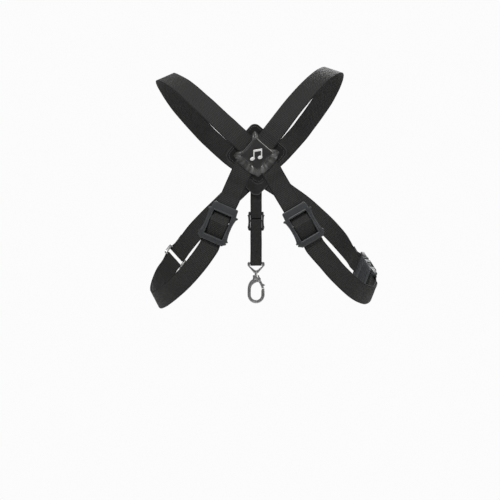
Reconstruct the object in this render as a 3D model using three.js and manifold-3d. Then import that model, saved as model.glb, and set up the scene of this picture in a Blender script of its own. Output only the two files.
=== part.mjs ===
// Shoulder harness for a saxophone, in the shape it takes when it is worn.
// Millimetres. +Z is up, -Y is the wearer's back, +Y the chest, +X the wearer's right.
// The origin is midway between the two places where the straps cross the shoulders.

import * as THREE from "three";
import * as BufferGeometryUtils from "three/addons/utils/BufferGeometryUtils.js";
import Module from "manifold-3d";

const wasm = await Module();
wasm.setup();

// Webbing of the body straps, and of the narrower strap that carries the hook.
const WEB = { width: 25, thick: 1.4 };
const TAPE = { width: 15, thick: 1.2 };
const GAP = 0.35; // clear space between neighbouring pieces
const STRAP_STEP = 8; // longest stretch of strap between two cross-sections
const TURN_STEP_DEG = 23; // widest step between two cross-sections around a bar

// Leather: the back patch and the two layers of the chest piece.
const BACK_PATCH = { at: [0, -78, -97], side: 57, corner: 8, thick: 1.6, turnDeg: -4 };
const CENTRE = { side: 28.5, thick: 1.6, under: 5.4, bridge: 2.2, hole: 34 };
const BAND = { reach: 8.5, depth: 1.4 };
const CHEST = { at: [0, 98, -113], side: 46, corner: 8, thick: 1.4 };
const CHEST_OUTER_AT = 6.8;
const EMBLEM = {
  wide: 9.4, high: 10.8, rise: 1.8, headWide: 6, headHigh: 4.2, tilt: 0.35, stem: 1.3, beam: 2.6, thick: 0.6,
};

// Heights of strap centrelines above the wearer's body.
const ON_BODY = 0.75;
const ON_BORDER = 2.7;
const BACK_LAYER_1 = 2.7;
const BACK_LAYER_2 = 4.4;
const CHEST_LAYER_1 = 2.5;
const CHEST_LAYER_2 = 4.25;
const CHEST_LAYER_3 = 5.95;

// Slide adjusters: the large ones on the back, and the small one above the hook.
const SLIDE = {
  length: 48.5, endHalf: 16, earHalf: 19.75, waistHalf: 16.6, earAt: 11.1, earEnd: 41,
  topBar: 11, bottomBar: 7.4, windowHalf: 13.1, under: 3.75, thick: 4, bevel: 0.6,
  barAt: 23.5, barR: 1.6, barHeight: 4.3,
};
const SMALL_SLIDE = {
  length: 25, endHalf: 10, earHalf: 11.4, waistHalf: 10.2, earAt: 5, earEnd: 20,
  topBar: 4.5, bottomBar: 4, windowHalf: 7.9, under: 3.1, thick: 2.6, bevel: 0.4,
  barAt: 12, barR: 1.1, barHeight: 3.5,
};
const SLIDE_LEFT_AT = 58.4;
const SLIDE_RIGHT_AT = 69.3;

// Rectangular ring at the front left.
const RING = { halfWide: 16.6, halfLong: 7.6, bar: 3.2, corner: 2.6, bevel: 0.7 };
const RING_AT = 336.8;

// Side-release buckle on the right, measured along the strap from its middle.
const BUCKLE_AT = 302.8;
const BUCKLE_LIFT = 5.8;
const SOCKET = { back: -19, mouth: 7, halfWide: 17, halfThick: 5, wall: 1.7, barAt: -25, corner: 3.5 };
const SOCKET_SIDE = { from: -12, to: -1.5 };
const PLUG = { face: 7.4, back: 15, halfWide: 16.5, halfThick: 4.6, barAt: 21, corner: 3 };
const BUCKLE_BAR_R = 1.7;
const BUCKLE_ARM = { halfWide: 17, inner: 13.2, thick: 4.4 };
const TONGUE = { halfWide: 2.2, tip: -10, halfThick: 2.2 };
const PRONG = { tip: -13.5, inner: 8.5, outer: 11.2, headFrom: -2.5, headOuter: 16.4, halfThick: 2.2, tail: 3 };
const POCKET = { clear: 0.7, deep: 3.4 };

// Hanger strap and snap hook.
const HANGER = { at: [0, 98, -106], length: 170 };
const SMALL_SLIDE_AT = 58;
const EYE = { at: 126, wire: 1.6, halfWide: 8.1, high: 9.5, postR: 1.8, postLong: 9, head: 2.8, headLong: 1.4 };
const HOOK = { barrelR: 4.2, barrelHigh: 6, plate: 5, seatR: 7, outerR: 11.2, seatDrop: 26, seatFlatDeg: 13 };
const GATE = { plate: 2.6, pinR: 0.9, pinLong: 6.6, pivot: [4.6, -7.4] };

const COLOURS = {
  webbing: [0x1c1c1a, 0.85, 0],
  leather: [0x1b1a19, 0.45, 0],
  plastic: [0x26282b, 0.5, 0],
  metal: [0x8d8f92, 0.3, 1],
  silver: [0xc9cacb, 0.35, 1],
};

// Routes over the wearer's body: each station is a point on the body and the body's outward normal there.
const FLANK_LEFT = [
  [-12.8, -78, -106.6, 0, -1, 0],
  [-22.9, -78, -129.6, 0, -1, 0],
  [-36.3, -77.4, -160, -0.06, -1, 0],
  [-46, -76.9, -182.2, -0.06, -1, 0],
  [-55.7, -76.4, -204.4, -0.06, -1, 0],
  [-59.2, -76.2, -212.4, -0.1, -1, -0.02],
  [-71.5, -71, -230, -0.3, -0.93, -0.12],
  [-88, -61, -249, -0.46, -0.85, -0.22],
  [-108, -43, -267, -0.66, -0.65, -0.36],
  [-123, -14, -276, -0.83, -0.22, -0.48],
  [-127, 18, -269, -0.9, 0.2, -0.36],
  [-121, 44, -250, -0.76, 0.6, -0.2],
  [-113, 55.6, -237.4, -0.62, 0.77, -0.07],
  [-108, 60.3, -230.2, -0.62, 0.77, -0.07],
  [-103, 65, -223, -0.62, 0.77, -0.07],
  [-98, 69.7, -215.8, -0.62, 0.77, -0.07],
  [-93, 74.4, -208.6, -0.62, 0.77, -0.07],
  [-78, 84.5, -189, -0.4, 0.9, -0.06],
  [-60, 92.5, -170, -0.22, 0.97, -0.03],
  [-42, 97.2, -152.5, -0.06, 1, 0],
  [-34, 98, -144.5, 0, 1, 0],
  [-6, 98, -118, 0, 1, 0],
];
const FLANK_RIGHT = [
  [9.3, -78, -102.9, 0, -1, 0],
  [24.9, -78, -129.6, 0, -1, 0],
  [43, -77.2, -160.6, 0.06, -1, 0],
  [55.6, -76.6, -182.2, 0.06, -1, 0],
  [68.3, -76, -204, 0.06, -1, 0],
  [72.6, -75.7, -211.4, 0.12, -1, -0.03],
  [86, -69.5, -227, 0.32, -0.92, -0.14],
  [101, -59.5, -244, 0.52, -0.8, -0.24],
  [121.5, -41, -262.5, 0.72, -0.56, -0.38],
  [138.5, -16, -270.5, 0.87, -0.14, -0.46],
  [146.6, 5.7, -266.5, 0.92, 0.3, -0.2],
  [142.4, 16.4, -258.7, 0.9, 0.41, -0.08],
  [138.2, 27.2, -250.8, 0.9, 0.41, -0.08],
  [134, 38, -243, 0.9, 0.41, -0.08],
  [129.8, 48.8, -235.2, 0.9, 0.41, -0.08],
  [125.6, 59.6, -227.3, 0.9, 0.41, -0.08],
  [121.4, 70.3, -219.5, 0.88, 0.45, -0.08],
  [107, 84, -199, 0.55, 0.82, -0.1],
  [86, 91.5, -176.5, 0.32, 0.94, -0.06],
  [62, 95.5, -155, 0.16, 0.98, -0.03],
  [42, 97.5, -140.5, 0.04, 1, 0],
  [34, 98, -134.5, 0, 1, 0],
  [8, 98, -118, 0, 1, 0],
];
const SHOULDER_LEFT = [
  [-5, -78, -92.4, 0, -1, 0],
  [-24.5, -78, -74.5, 0, -1, 0],
  [-44.1, -73, -55.9, -0.05, -0.95, 0.3],
  [-67, -59, -33.8, -0.12, -0.84, 0.52],
  [-91, -37, -11.5, -0.26, -0.58, 0.77],
  [-108.5, -14, 0.5, -0.4, -0.22, 0.89],
  [-116, 9, 3.5, -0.42, 0.15, 0.89],
  [-111, 35, -8, -0.36, 0.54, 0.76],
  [-95.5, 59, -30, -0.24, 0.8, 0.55],
  [-68, 86.4, -60, -0.12, 0.93, 0.34],
  [-53.5, 93.7, -73.6, -0.06, 0.97, 0.18],
  [-40, 97.3, -85.6, -0.02, 0.99, 0.06],
  [-32, 98, -92.2, 0, 1, 0],
  [-10, 98, -108, 0, 1, 0],
];
const SHOULDER_RIGHT = [
  [4, -78, -92, 0, -1, 0],
  [21.2, -78, -69.9, 0, -1, 0],
  [34.5, -72.5, -52.2, 0.04, -0.95, 0.3],
  [49.5, -60.5, -32.5, 0.1, -0.85, 0.52],
  [69, -40, -10, 0.2, -0.62, 0.76],
  [87, -18, 7, 0.31, -0.26, 0.91],
  [98.5, 6, 12.5, 0.36, 0.13, 0.92],
  [97.5, 33, 1.5, 0.3, 0.53, 0.79],
  [86, 57, -21, 0.2, 0.79, 0.58],
  [63.5, 85.3, -52.3, 0.1, 0.93, 0.36],
  [51, 93, -67.2, 0.06, 0.97, 0.18],
  [38, 97.2, -81.6, 0.02, 0.99, 0.06],
  [31, 98, -88.8, 0, 1, 0],
  [10, 98, -108, 0, 1, 0],
];

// A smooth line over the body, measured by its length, with the body's normal along it.
class Route {
  constructor(stations) {
    const points = stations.map((s) => new THREE.Vector3(s[0], s[1], s[2]));
    const normals = stations.map((s) => new THREE.Vector3(s[3], s[4], s[5]).normalize());
    this.line = new THREE.CatmullRomCurve3(points, false, "catmullrom", 0.5);
    this.line.arcLengthDivisions = 1200;
    this.lean = new THREE.CatmullRomCurve3(normals, false, "catmullrom", 0.5);
    this.length = this.line.getLength();
  }

  // Position, tangent, normal and side at a length along the line; it runs straight on past either end.
  at(length) {
    const inside = Math.min(Math.max(length, 0), this.length);
    const t = this.line.getUtoTmapping(inside / this.length);
    const tangent = this.line.getTangent(t).normalize();
    const position = this.line.getPoint(t).addScaledVector(tangent, length - inside);
    const normal = this.lean.getPoint(t);
    normal.addScaledVector(tangent, -normal.dot(tangent)).normalize();
    const side = new THREE.Vector3().crossVectors(tangent, normal);
    return { position, tangent, normal, side };
  }

  // A point's length along the line and its height above it.
  locate(point, guess) {
    let length = guess;
    for (let i = 0; i < 40; i++) {
      const here = this.at(length);
      length += point.clone().sub(here.position).dot(here.tangent);
    }
    const here = this.at(length);
    return [length, point.clone().sub(here.position).dot(here.normal)];
  }
}

// A group standing on a route: its X lies across the strap, its Y along it and its Z away from the body.
function standOn(route, length, height) {
  const here = route.at(length);
  const group = new THREE.Group();
  const basis = new THREE.Matrix4().makeBasis(here.side, here.tangent, here.normal);
  group.quaternion.setFromRotationMatrix(basis);
  group.position.copy(here.position).addScaledVector(here.normal, height);
  return group;
}

function inWorld(group, x, y, z) {
  return new THREE.Vector3(x, y, z).applyQuaternion(group.quaternion).add(group.position);
}

// Cuts long stretches of a path into short ones.
function subdivided(path, step) {
  const out = [path[0]];
  for (let i = 1; i < path.length; i++) {
    const [s0, v0] = path[i - 1];
    const [s1, v1] = path[i];
    const parts = Math.max(1, Math.ceil(Math.hypot(s1 - s0, v1 - v0) / step));
    for (let k = 1; k <= parts; k++) {
      out.push([s0 + ((s1 - s0) * k) / parts, v0 + ((v1 - v0) * k) / parts]);
    }
  }
  return out;
}

// A strap of webbing: a box bent so that its middle follows a path of lengths and heights over a route.
function strapAlong(route, path, web) {
  const stations = subdivided(path, STRAP_STEP);
  const last = stations.length - 1;
  const sections = stations.map(([s, v], i) => {
    const before = stations[Math.max(i - 1, 0)];
    const after = stations[Math.min(i + 1, last)];
    const run = after[0] - before[0];
    const rise = after[1] - before[1];
    const size = Math.hypot(run, rise);
    const here = route.at(s);
    const up = here.normal.clone().multiplyScalar(run / size);
    up.addScaledVector(here.tangent, -rise / size);
    return { middle: here.position.addScaledVector(here.normal, v), side: here.side, up };
  });
  const box = new THREE.BoxGeometry(last, web.width, web.thick, last, 1, 1);
  const spots = box.attributes.position;
  for (let i = 0; i < spots.count; i++) {
    const section = sections[Math.round(spots.getX(i) + last / 2)];
    const spot = section.middle.clone();
    spot.addScaledVector(section.side, -spots.getY(i));
    spot.addScaledVector(section.up, spots.getZ(i));
    spots.setXYZ(i, spot.x, spot.y, spot.z);
  }
  box.computeVertexNormals();
  return box;
}

// The part of a path that bends round a bar, between a straight stretch that comes from one point
// and a straight stretch that goes to another.
function roundBar(bar, radius, from, to, clockwise) {
  const sign = clockwise ? 1 : -1;
  const touch = (point, way) => {
    const run = point[0] - bar[0];
    const rise = point[1] - bar[1];
    return Math.atan2(rise, run) + way * Math.acos(radius / Math.hypot(run, rise));
  };
  const start = touch(from, -sign);
  const sweep = (sign * (start - touch(to, sign)) + 4 * Math.PI) % (2 * Math.PI);
  const steps = Math.max(2, Math.ceil(THREE.MathUtils.radToDeg(sweep) / TURN_STEP_DEG));
  const points = [];
  for (let i = 0; i <= steps; i++) {
    const a = start - (sign * sweep * i) / steps;
    points.push([bar[0] + radius * Math.cos(a), bar[1] + radius * Math.sin(a)]);
  }
  return points;
}

// The path of a strap that passes through a slide, turns round a far bar and comes back to be sewn
// round the slide's own centre bar.
function adjustedPath(lead, slide, slideAt, far, web) {
  const outer = slide.under - GAP - web.thick / 2;
  const inner = web.thick / 2 + 0.05;
  const bar = [slideAt + slide.barAt, slide.barHeight];
  const farBar = [far.s, far.v];
  const turn = slide.barR + GAP + web.thick / 2;
  const crest = turn + GAP + web.thick;
  const farTurn = far.radius + GAP + web.thick / 2;
  const windowTop = [slideAt + slide.topBar + 0.2, outer];
  const windowEnd = [slideAt + slide.length - slide.bottomBar - 0.2, outer];
  const farOut = [far.s - farTurn * 4, outer];
  const farBack = [far.s - farTurn * 3, inner];
  const nearBack = [windowEnd[0] + 2, inner];
  const flapEnd = [bar[0] + (windowEnd[0] - bar[0]) * 0.5, inner + web.thick + GAP * 3];
  return [
    ...lead,
    [slideAt - 1.5, outer],
    windowTop,
    ...roundBar(bar, crest, windowTop, windowEnd, true),
    windowEnd,
    farOut,
    ...roundBar(farBar, farTurn, farOut, farBack, true),
    farBack,
    nearBack,
    ...roundBar(bar, turn, nearBack, flapEnd, true),
    flapEnd,
  ];
}

// A strap end sewn round a bar: the path starts at the sewn end and leaves at the given height.
function sewnLoop(bar, radius, web, seam, height) {
  const turn = radius + GAP + web.thick / 2;
  const flapHeight = height + web.thick + GAP;
  const flapBend = [bar[0] + turn * 3, flapHeight];
  const leave = [bar[0] + turn * 3, height];
  return [[bar[0] + seam, flapHeight], flapBend, ...roundBar(bar, turn, flapBend, leave, false), leave];
}

function solidOf(geometry) {
  const bare = geometry.clone();
  bare.deleteAttribute("normal");
  bare.deleteAttribute("uv");
  const merged = BufferGeometryUtils.mergeVertices(bare, 1e-4);
  const mesh = new wasm.Mesh({
    numProp: 3,
    vertProperties: new Float32Array(merged.attributes.position.array),
    triVerts: new Uint32Array(merged.index.array),
  });
  return new wasm.Manifold(mesh);
}

function geometryOf(solid) {
  const mesh = solid.getMesh();
  const geometry = new THREE.BufferGeometry();
  geometry.setAttribute("position", new THREE.BufferAttribute(new Float32Array(mesh.vertProperties), 3));
  geometry.setIndex(new THREE.BufferAttribute(new Uint32Array(mesh.triVerts), 1));
  const flat = geometry.toNonIndexed();
  flat.computeVertexNormals();
  return flat;
}

function joined(...geometries) {
  return geometryOf(geometries.map(solidOf).reduce((a, b) => a.add(b)));
}

function cut(body, ...tools) {
  return geometryOf(tools.map(solidOf).reduce((a, b) => a.subtract(b), solidOf(body)));
}

function boxBetween(low, high) {
  const size = high.map((h, i) => h - low[i]);
  const box = new THREE.BoxGeometry(...size);
  return box.translate(...low.map((l, i) => l + size[i] / 2));
}

function roundedRectangle(halfX, halfY, radius) {
  const shape = new THREE.Shape();
  shape.moveTo(halfX, -halfY + radius);
  shape.absarc(halfX - radius, halfY - radius, radius, 0, Math.PI / 2);
  shape.absarc(-halfX + radius, halfY - radius, radius, Math.PI / 2, Math.PI);
  shape.absarc(-halfX + radius, -halfY + radius, radius, Math.PI, Math.PI * 1.5);
  shape.absarc(halfX - radius, -halfY + radius, radius, Math.PI * 1.5, Math.PI * 2);
  return shape;
}

function prism(shape, low, high, curveSegments = 5) {
  const options = { depth: high - low, bevelEnabled: false, curveSegments };
  return new THREE.ExtrudeGeometry(shape, options).translate(0, 0, low);
}

function bevelled(shape, low, high, bevel, curveSegments = 5) {
  const options = {
    depth: high - low - 2 * bevel,
    bevelThickness: bevel,
    bevelSize: bevel,
    bevelOffset: -bevel,
    bevelSegments: 1,
    curveSegments,
  };
  return new THREE.ExtrudeGeometry(shape, options).translate(0, 0, low + bevel);
}

function rodAlongX(radius, halfLong, y, z, sides = 14) {
  const rod = new THREE.CylinderGeometry(radius, radius, halfLong * 2, sides);
  return rod.rotateZ(Math.PI / 2).translate(0, y, z);
}

// The back patch: a border that lies on the back, and a centre raised over the ends of the straps.
function backPatch() {
  const half = BACK_PATCH.side / 2;
  const border = bevelled(roundedRectangle(half, half, BACK_PATCH.corner), 0, BACK_PATCH.thick, 0.4);
  const hole = boxBetween([-CENTRE.hole / 2, -CENTRE.hole / 2, -1], [CENTRE.hole / 2, CENTRE.hole / 2, 3]);
  const ring = cut(border, hole);
  const c = CENTRE.side / 2;
  const top = CENTRE.under + CENTRE.thick;
  const centre = bevelled(roundedRectangle(c, c, 1.2), CENTRE.under, top, 0.3);
  const lowBand = CENTRE.under + CENTRE.thick - BAND.depth;
  const bandLeft = boxBetween([-c - BAND.reach, -c, CENTRE.under], [-c + 1, c - 3, lowBand + 0.9]);
  const bandRight = boxBetween([-c, -c - BAND.reach, CENTRE.under], [c - 3, -c + 1, lowBand + 0.9]);
  const bridges = [0, 1, 2, 3].map((k) => cornerBridge(c, k));
  return joined(ring, centre, bandLeft, bandRight, ...bridges);
}

// A sloping tongue of leather from a corner of the hole up to the same corner of the raised centre.
function cornerBridge(c, quarter) {
  const foot = (CENTRE.hole / 2) * Math.SQRT2 + 0.8;
  const corner = c * Math.SQRT2;
  const top = CENTRE.under + CENTRE.thick - 0.3;
  const profile = new THREE.Shape();
  profile.moveTo(foot + 3.2, 0.1);
  profile.lineTo(foot + 3.2, BACK_PATCH.thick - 0.1);
  profile.lineTo(foot + 1.2, BACK_PATCH.thick - 0.1);
  profile.lineTo(corner + 2.2, top);
  profile.lineTo(corner - 2.6, top);
  profile.lineTo(corner - 2.6, CENTRE.under + 0.1);
  profile.lineTo(corner + 1.6, CENTRE.under + 0.1);
  profile.lineTo(foot, 0.1);
  const tongue = prism(profile, -CENTRE.bridge / 2, CENTRE.bridge / 2);
  tongue.rotateX(Math.PI / 2);
  return tongue.rotateZ(Math.PI / 4 + (quarter * Math.PI) / 2);
}

// The outline of a slide adjuster: bars at both ends, ears beside them and a waist between.
function slideOutline(s) {
  const half = s.length / 2;
  const right = [
    [s.endHalf - 1.5, -half],
    [s.endHalf, -half + 1.5],
    [s.endHalf + 0.4, -half + s.earAt * 0.5],
    [s.earHalf - 0.5, -half + s.earAt - 1.4],
    [s.earHalf, -half + s.earAt],
    [s.waistHalf + 0.7, -half + s.earAt + 2.6],
    [s.waistHalf, -half + (s.earAt + s.earEnd) / 2],
    [s.waistHalf + 0.7, -half + s.earEnd - 2.6],
    [s.earHalf, -half + s.earEnd],
    [s.earHalf - 0.5, -half + s.earEnd + 1.2],
    [s.endHalf + 0.2, half - (s.length - s.earEnd) * 0.4],
    [s.endHalf, half - 1.2],
    [s.endHalf - 1.2, half],
  ];
  const left = right.map(([x, y]) => [-x, y]).reverse();
  return new THREE.Shape([...right, ...left].map(([x, y]) => new THREE.Vector2(x, y)));
}

// A slide adjuster: a bevelled plate with one window and a round bar across it.
function slideAdjuster(s) {
  const plate = bevelled(slideOutline(s), s.under, s.under + s.thick, s.bevel);
  const top = -s.length / 2 + s.topBar;
  const end = s.length / 2 - s.bottomBar;
  const window = boxBetween([-s.windowHalf, top, 0], [s.windowHalf, end, s.under + s.thick + 5]);
  const barY = -s.length / 2 + s.barAt;
  const bar = rodAlongX(s.barR, s.windowHalf + 1.2, barY, s.barHeight);
  return joined(cut(plate, window), bar);
}

function ringGeometry() {
  const outline = roundedRectangle(RING.halfWide, RING.halfLong, RING.corner);
  outline.holes.push(roundedRectangle(RING.halfWide - RING.bar, RING.halfLong - RING.bar, 0.6));
  return bevelled(outline, -RING.bar / 2, RING.bar / 2, RING.bevel, 3);
}

// Two arms and a round bar that a strap is sewn round, at one end of a buckle half.
function buckleFrame(fromY, barY) {
  const reach = barY + Math.sign(barY - fromY) * BUCKLE_BAR_R;
  const low = Math.min(fromY, reach);
  const high = Math.max(fromY, reach);
  const t = BUCKLE_ARM.thick / 2;
  const arms = [1, -1].map((side) => {
    const xs = [side * BUCKLE_ARM.inner, side * BUCKLE_ARM.halfWide].sort((a, b) => a - b);
    return boxBetween([xs[0], low, -t], [xs[1], high, t]);
  });
  return [...arms, rodAlongX(BUCKLE_BAR_R, BUCKLE_ARM.inner + 1, barY, 0)];
}

// The socket: a hollow flat shell, open at the mouth and at both sides for the prongs' heads.
function buckleSocket() {
  const halfLong = (SOCKET.mouth - SOCKET.back) / 2;
  const outline = roundedRectangle(SOCKET.halfWide, halfLong, SOCKET.corner);
  const shell = bevelled(outline, -SOCKET.halfThick, SOCKET.halfThick, 1.2);
  shell.translate(0, SOCKET.back + halfLong, 0);
  const innerX = SOCKET.halfWide - SOCKET.wall;
  const innerZ = SOCKET.halfThick - SOCKET.wall;
  const hollow = boxBetween([-innerX, SOCKET.back + 3, -innerZ], [innerX, SOCKET.mouth + 2, innerZ]);
  const sides = boxBetween([-30, SOCKET_SIDE.from, -innerZ], [30, SOCKET_SIDE.to, innerZ]);
  const body = cut(shell, hollow, sides);
  return joined(body, ...buckleFrame(SOCKET.back + 3, SOCKET.barAt));
}

// The plug: a block with a guide tongue and the bar that its strap is sewn round.
function bucklePlug() {
  const halfLong = (PLUG.back - PLUG.face) / 2;
  const outline = roundedRectangle(PLUG.halfWide, halfLong, PLUG.corner);
  const block = bevelled(outline, -PLUG.halfThick, PLUG.halfThick, 0.9);
  block.translate(0, PLUG.face + halfLong, 0);
  const pockets = [1, -1].map((side) => {
    const ends = [side * (PRONG.inner - POCKET.clear), side * (PRONG.outer + POCKET.clear)];
    const [from, to] = ends.sort((a, b) => a - b);
    const z = PRONG.halfThick + GAP;
    return boxBetween([from, PLUG.face - 2, -z], [to, PLUG.face + POCKET.deep, z]);
  });
  const low = [-TONGUE.halfWide, TONGUE.tip, -TONGUE.halfThick];
  const tongue = boxBetween(low, [TONGUE.halfWide, PLUG.face + 2, TONGUE.halfThick]);
  return joined(cut(block, ...pockets), tongue, ...buckleFrame(PLUG.back - 2, PLUG.barAt));
}

// One prong, on the side of positive X: a slim arm with a head that shows at the socket's side.
function buckleProng(side) {
  const outline = [
    [PRONG.inner, PLUG.face + PRONG.tail],
    [PRONG.inner, PRONG.tip + 2],
    [PRONG.inner + 1.3, PRONG.tip],
    [PRONG.outer + 1, PRONG.tip],
    [PRONG.headOuter - 1.6, PRONG.tip + 2.2],
    [PRONG.headOuter, PRONG.headFrom - 2.6],
    [PRONG.headOuter, PRONG.headFrom],
    [PRONG.outer, PRONG.headFrom + 0.4],
    [PRONG.outer, PLUG.face + PRONG.tail],
  ];
  const turned = side > 0 ? outline : outline.map(([x, y]) => [-x, y]);
  const shape = new THREE.Shape(turned.map(([x, y]) => new THREE.Vector2(x, y)));
  return bevelled(shape, -PRONG.halfThick, PRONG.halfThick, 0.3);
}

// Two beamed eighth notes in silver, on the raised centre of the back patch.
function emblemGeometry() {
  const { wide, high, rise, stem, beam } = EMBLEM;
  const low = -(high + rise) / 2;
  const notes = [0, 1].flatMap((k) => {
    const right = (k - 0.5) * wide;
    const foot = low + k * rise;
    const head = new THREE.Shape();
    const middle = right - EMBLEM.headWide * 0.4;
    head.absellipse(middle, foot, EMBLEM.headWide / 2, EMBLEM.headHigh / 2, 0, Math.PI * 2, false, EMBLEM.tilt);
    const upright = boxBetween([right - stem, foot, 0], [right, foot + high - 0.2, EMBLEM.thick]);
    return [prism(head, 0, EMBLEM.thick, 10), upright];
  });
  const [left, right, top] = [-wide / 2 - stem, wide / 2, low + high];
  const bar = new THREE.Shape();
  bar.moveTo(left, top - beam);
  bar.lineTo(right, top + rise - beam);
  bar.lineTo(right, top + rise);
  bar.lineTo(left, top);
  return joined(...notes, prism(bar, 0, EMBLEM.thick)).translate(EMBLEM.headWide * 0.35, 0, 0);
}

// A layer of the chest piece: a rounded square set on its corner.
function chestLayer(low) {
  const half = CHEST.side / 2;
  const layer = bevelled(roundedRectangle(half, half, CHEST.corner), low, low + CHEST.thick, 0.35);
  return layer.rotateZ(Math.PI / 4);
}

// The hook's eye: a flat wire loop, wide at the strap, on a post with a head inside the hook's barrel.
function eyeGeometry() {
  const w = EYE.halfWide + EYE.wire * 2;
  const r = EYE.wire;
  const outline = new THREE.Shape();
  outline.moveTo(-w + 1.2, r);
  outline.lineTo(w - 1.2, r);
  outline.lineTo(w, r - 1.2);
  outline.lineTo(w, -r - 1.5);
  outline.lineTo(r * 2, -EYE.high - r * 2);
  outline.lineTo(-r * 2, -EYE.high - r * 2);
  outline.lineTo(-w, -r - 1.5);
  outline.lineTo(-w, r - 1.2);
  const hole = new THREE.Path();
  hole.moveTo(-EYE.halfWide, -r);
  hole.lineTo(-EYE.halfWide, -r - 2.5);
  hole.lineTo(-1.2, -EYE.high);
  hole.lineTo(1.2, -EYE.high);
  hole.lineTo(EYE.halfWide, -r - 2.5);
  hole.lineTo(EYE.halfWide, -r);
  outline.holes.push(hole);
  const loop = bevelled(outline, -r, r, 0.6);
  loop.rotateX(Math.PI / 2);
  const postTop = -EYE.high - r;
  const post = uprightRod(EYE.postR, postTop - EYE.postLong, postTop, 16);
  const headLow = postTop - EYE.postLong;
  return joined(loop, post, uprightRod(EYE.head, headLow, headLow + EYE.headLong, 16));
}

function uprightRod(radius, low, high, sides) {
  const rod = new THREE.CylinderGeometry(radius, radius, high - low, sides);
  return rod.rotateX(Math.PI / 2).translate(0, 0, (low + high) / 2);
}

// The hook's outline in its own plane: down the back, round the seat and up to the tip.
function hookOutline() {
  const seat = -HOOK.seatDrop;
  const shape = new THREE.Shape();
  shape.moveTo(-3.6, -1);
  shape.lineTo(-4.2, -5);
  shape.quadraticCurveTo(-HOOK.outerR, -9, -HOOK.outerR, seat + 6);
  shape.lineTo(-HOOK.outerR, seat);
  shape.absarc(0, seat, HOOK.outerR, Math.PI, Math.PI * 2);
  shape.lineTo(HOOK.outerR, seat + 4.5);
  shape.quadraticCurveTo(HOOK.outerR - 0.5, seat + 7.5, HOOK.seatR + 0.6, seat + 7.5);
  shape.lineTo(HOOK.seatR, seat + 5.5);
  const flat = THREE.MathUtils.degToRad(HOOK.seatFlatDeg);
  shape.absarc(0, seat, HOOK.seatR, 0, flat - Math.PI / 2, true);
  shape.absarc(0, seat, HOOK.seatR, -flat - Math.PI / 2, -Math.PI, true);
  shape.lineTo(-HOOK.seatR, seat + 6);
  shape.quadraticCurveTo(-HOOK.seatR, -11.5, 1.5, -9.2);
  shape.lineTo(5.6, -8.8);
  shape.lineTo(6.4, -4.6);
  shape.lineTo(3.6, -1);
  return shape;
}

// The hook: a barrel that turns on the eye's post, and a flat hook whose mouth the gate shuts.
function hookGeometry() {
  const plate = bevelled(hookOutline(), -HOOK.plate / 2, HOOK.plate / 2, 0.7, 10);
  plate.rotateX(Math.PI / 2);
  const barrel = uprightRod(HOOK.barrelR, -HOOK.barrelHigh, 0, 20);
  const bore = uprightRod(EYE.postR + 0.35, -1.3, 1, 20);
  const chamber = uprightRod(EYE.head + 0.35, -4.8, -1.2, 20);
  const slot = GATE.plate / 2 + GAP;
  const mouth = boxBetween([1.9, -slot, -14], [12, slot, -4.4]);
  const hole = pinRod(GATE.pinR + GAP / 2, HOOK.plate + 4);
  return cut(joined(plate, barrel), bore, chamber, mouth, hole);
}

function pinRod(radius, long) {
  const [x, z] = GATE.pivot;
  return new THREE.CylinderGeometry(radius, radius, long, 14).translate(x, 0, z);
}

// The gate: a sprung lever from the pin to the hook's tip, with a small thumb nub.
function gateGeometry() {
  const seat = -HOOK.seatDrop;
  const tip = seat + 7.9;
  const outline = [
    [3, -6.2], [4.6, -5.6], [6.3, -6.4], [8.4, -11], [11.6, -12.4], [11.9, -13.6], [9.6, -14.6],
    [10.6, tip + 1.6], [7.6, tip], [5.4, -12], [3, -8.6],
  ];
  const shape = new THREE.Shape(outline.map(([x, z]) => new THREE.Vector2(x, z)));
  const lever = bevelled(shape, -GATE.plate / 2, GATE.plate / 2, 0.3);
  lever.rotateX(Math.PI / 2);
  return cut(lever, pinRod(GATE.pinR + GAP / 2, HOOK.plate + 4));
}

function piece(name, geometry, kind) {
  const [color, roughness, metalness] = COLOURS[kind];
  const material = new THREE.MeshStandardMaterial({ color, roughness, metalness });
  const mesh = new THREE.Mesh(geometry, material);
  mesh.name = name;
  return mesh;
}

const harness = new THREE.Group();

// Back patch, turned on its corner and facing away from the wearer.
const backPatchGroup = new THREE.Group();
backPatchGroup.position.set(...BACK_PATCH.at);
backPatchGroup.rotation.x = Math.PI / 2;
const patchTurn = new THREE.Group();
patchTurn.rotation.z = Math.PI / 4 + THREE.MathUtils.degToRad(-BACK_PATCH.turnDeg);
patchTurn.add(piece("back_patch", backPatch(), "leather"));
const emblem = piece("emblem", emblemGeometry(), "silver");
emblem.position.z = CENTRE.under + CENTRE.thick + GAP;
backPatchGroup.add(patchTurn, emblem);
harness.add(backPatchGroup);

// Shoulder straps: from under the raised centre, over the border, over the shoulder, to the chest.
function shoulderStrap(name, stations, backLayer, chestLayerHeight) {
  const route = new Route(stations);
  const end = route.length;
  const path = [
    [0, backLayer],
    [9, backLayer],
    [13, ON_BORDER],
    [24, ON_BORDER],
    [33, ON_BODY],
    [end - 40, ON_BODY],
    [end - 30, chestLayerHeight],
    [end, chestLayerHeight],
  ];
  harness.add(piece(name, strapAlong(route, path, WEB), "webbing"));
}
shoulderStrap("shoulder_strap_left", SHOULDER_LEFT, BACK_LAYER_1, CHEST_LAYER_1);
shoulderStrap("shoulder_strap_right", SHOULDER_RIGHT, BACK_LAYER_2, CHEST_LAYER_2);

// The stretch of an adjusting strap from the back patch to near its slide.
const PATCH_LEAD = [[0, ON_BORDER], [21, ON_BORDER], [30, ON_BODY], [46, ON_BODY]];

function addSlide(name, route, at, slide) {
  const group = standOn(route, at + slide.length / 2, 0);
  group.add(piece(name, slideAdjuster(slide), "plastic"));
  harness.add(group);
}

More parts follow.
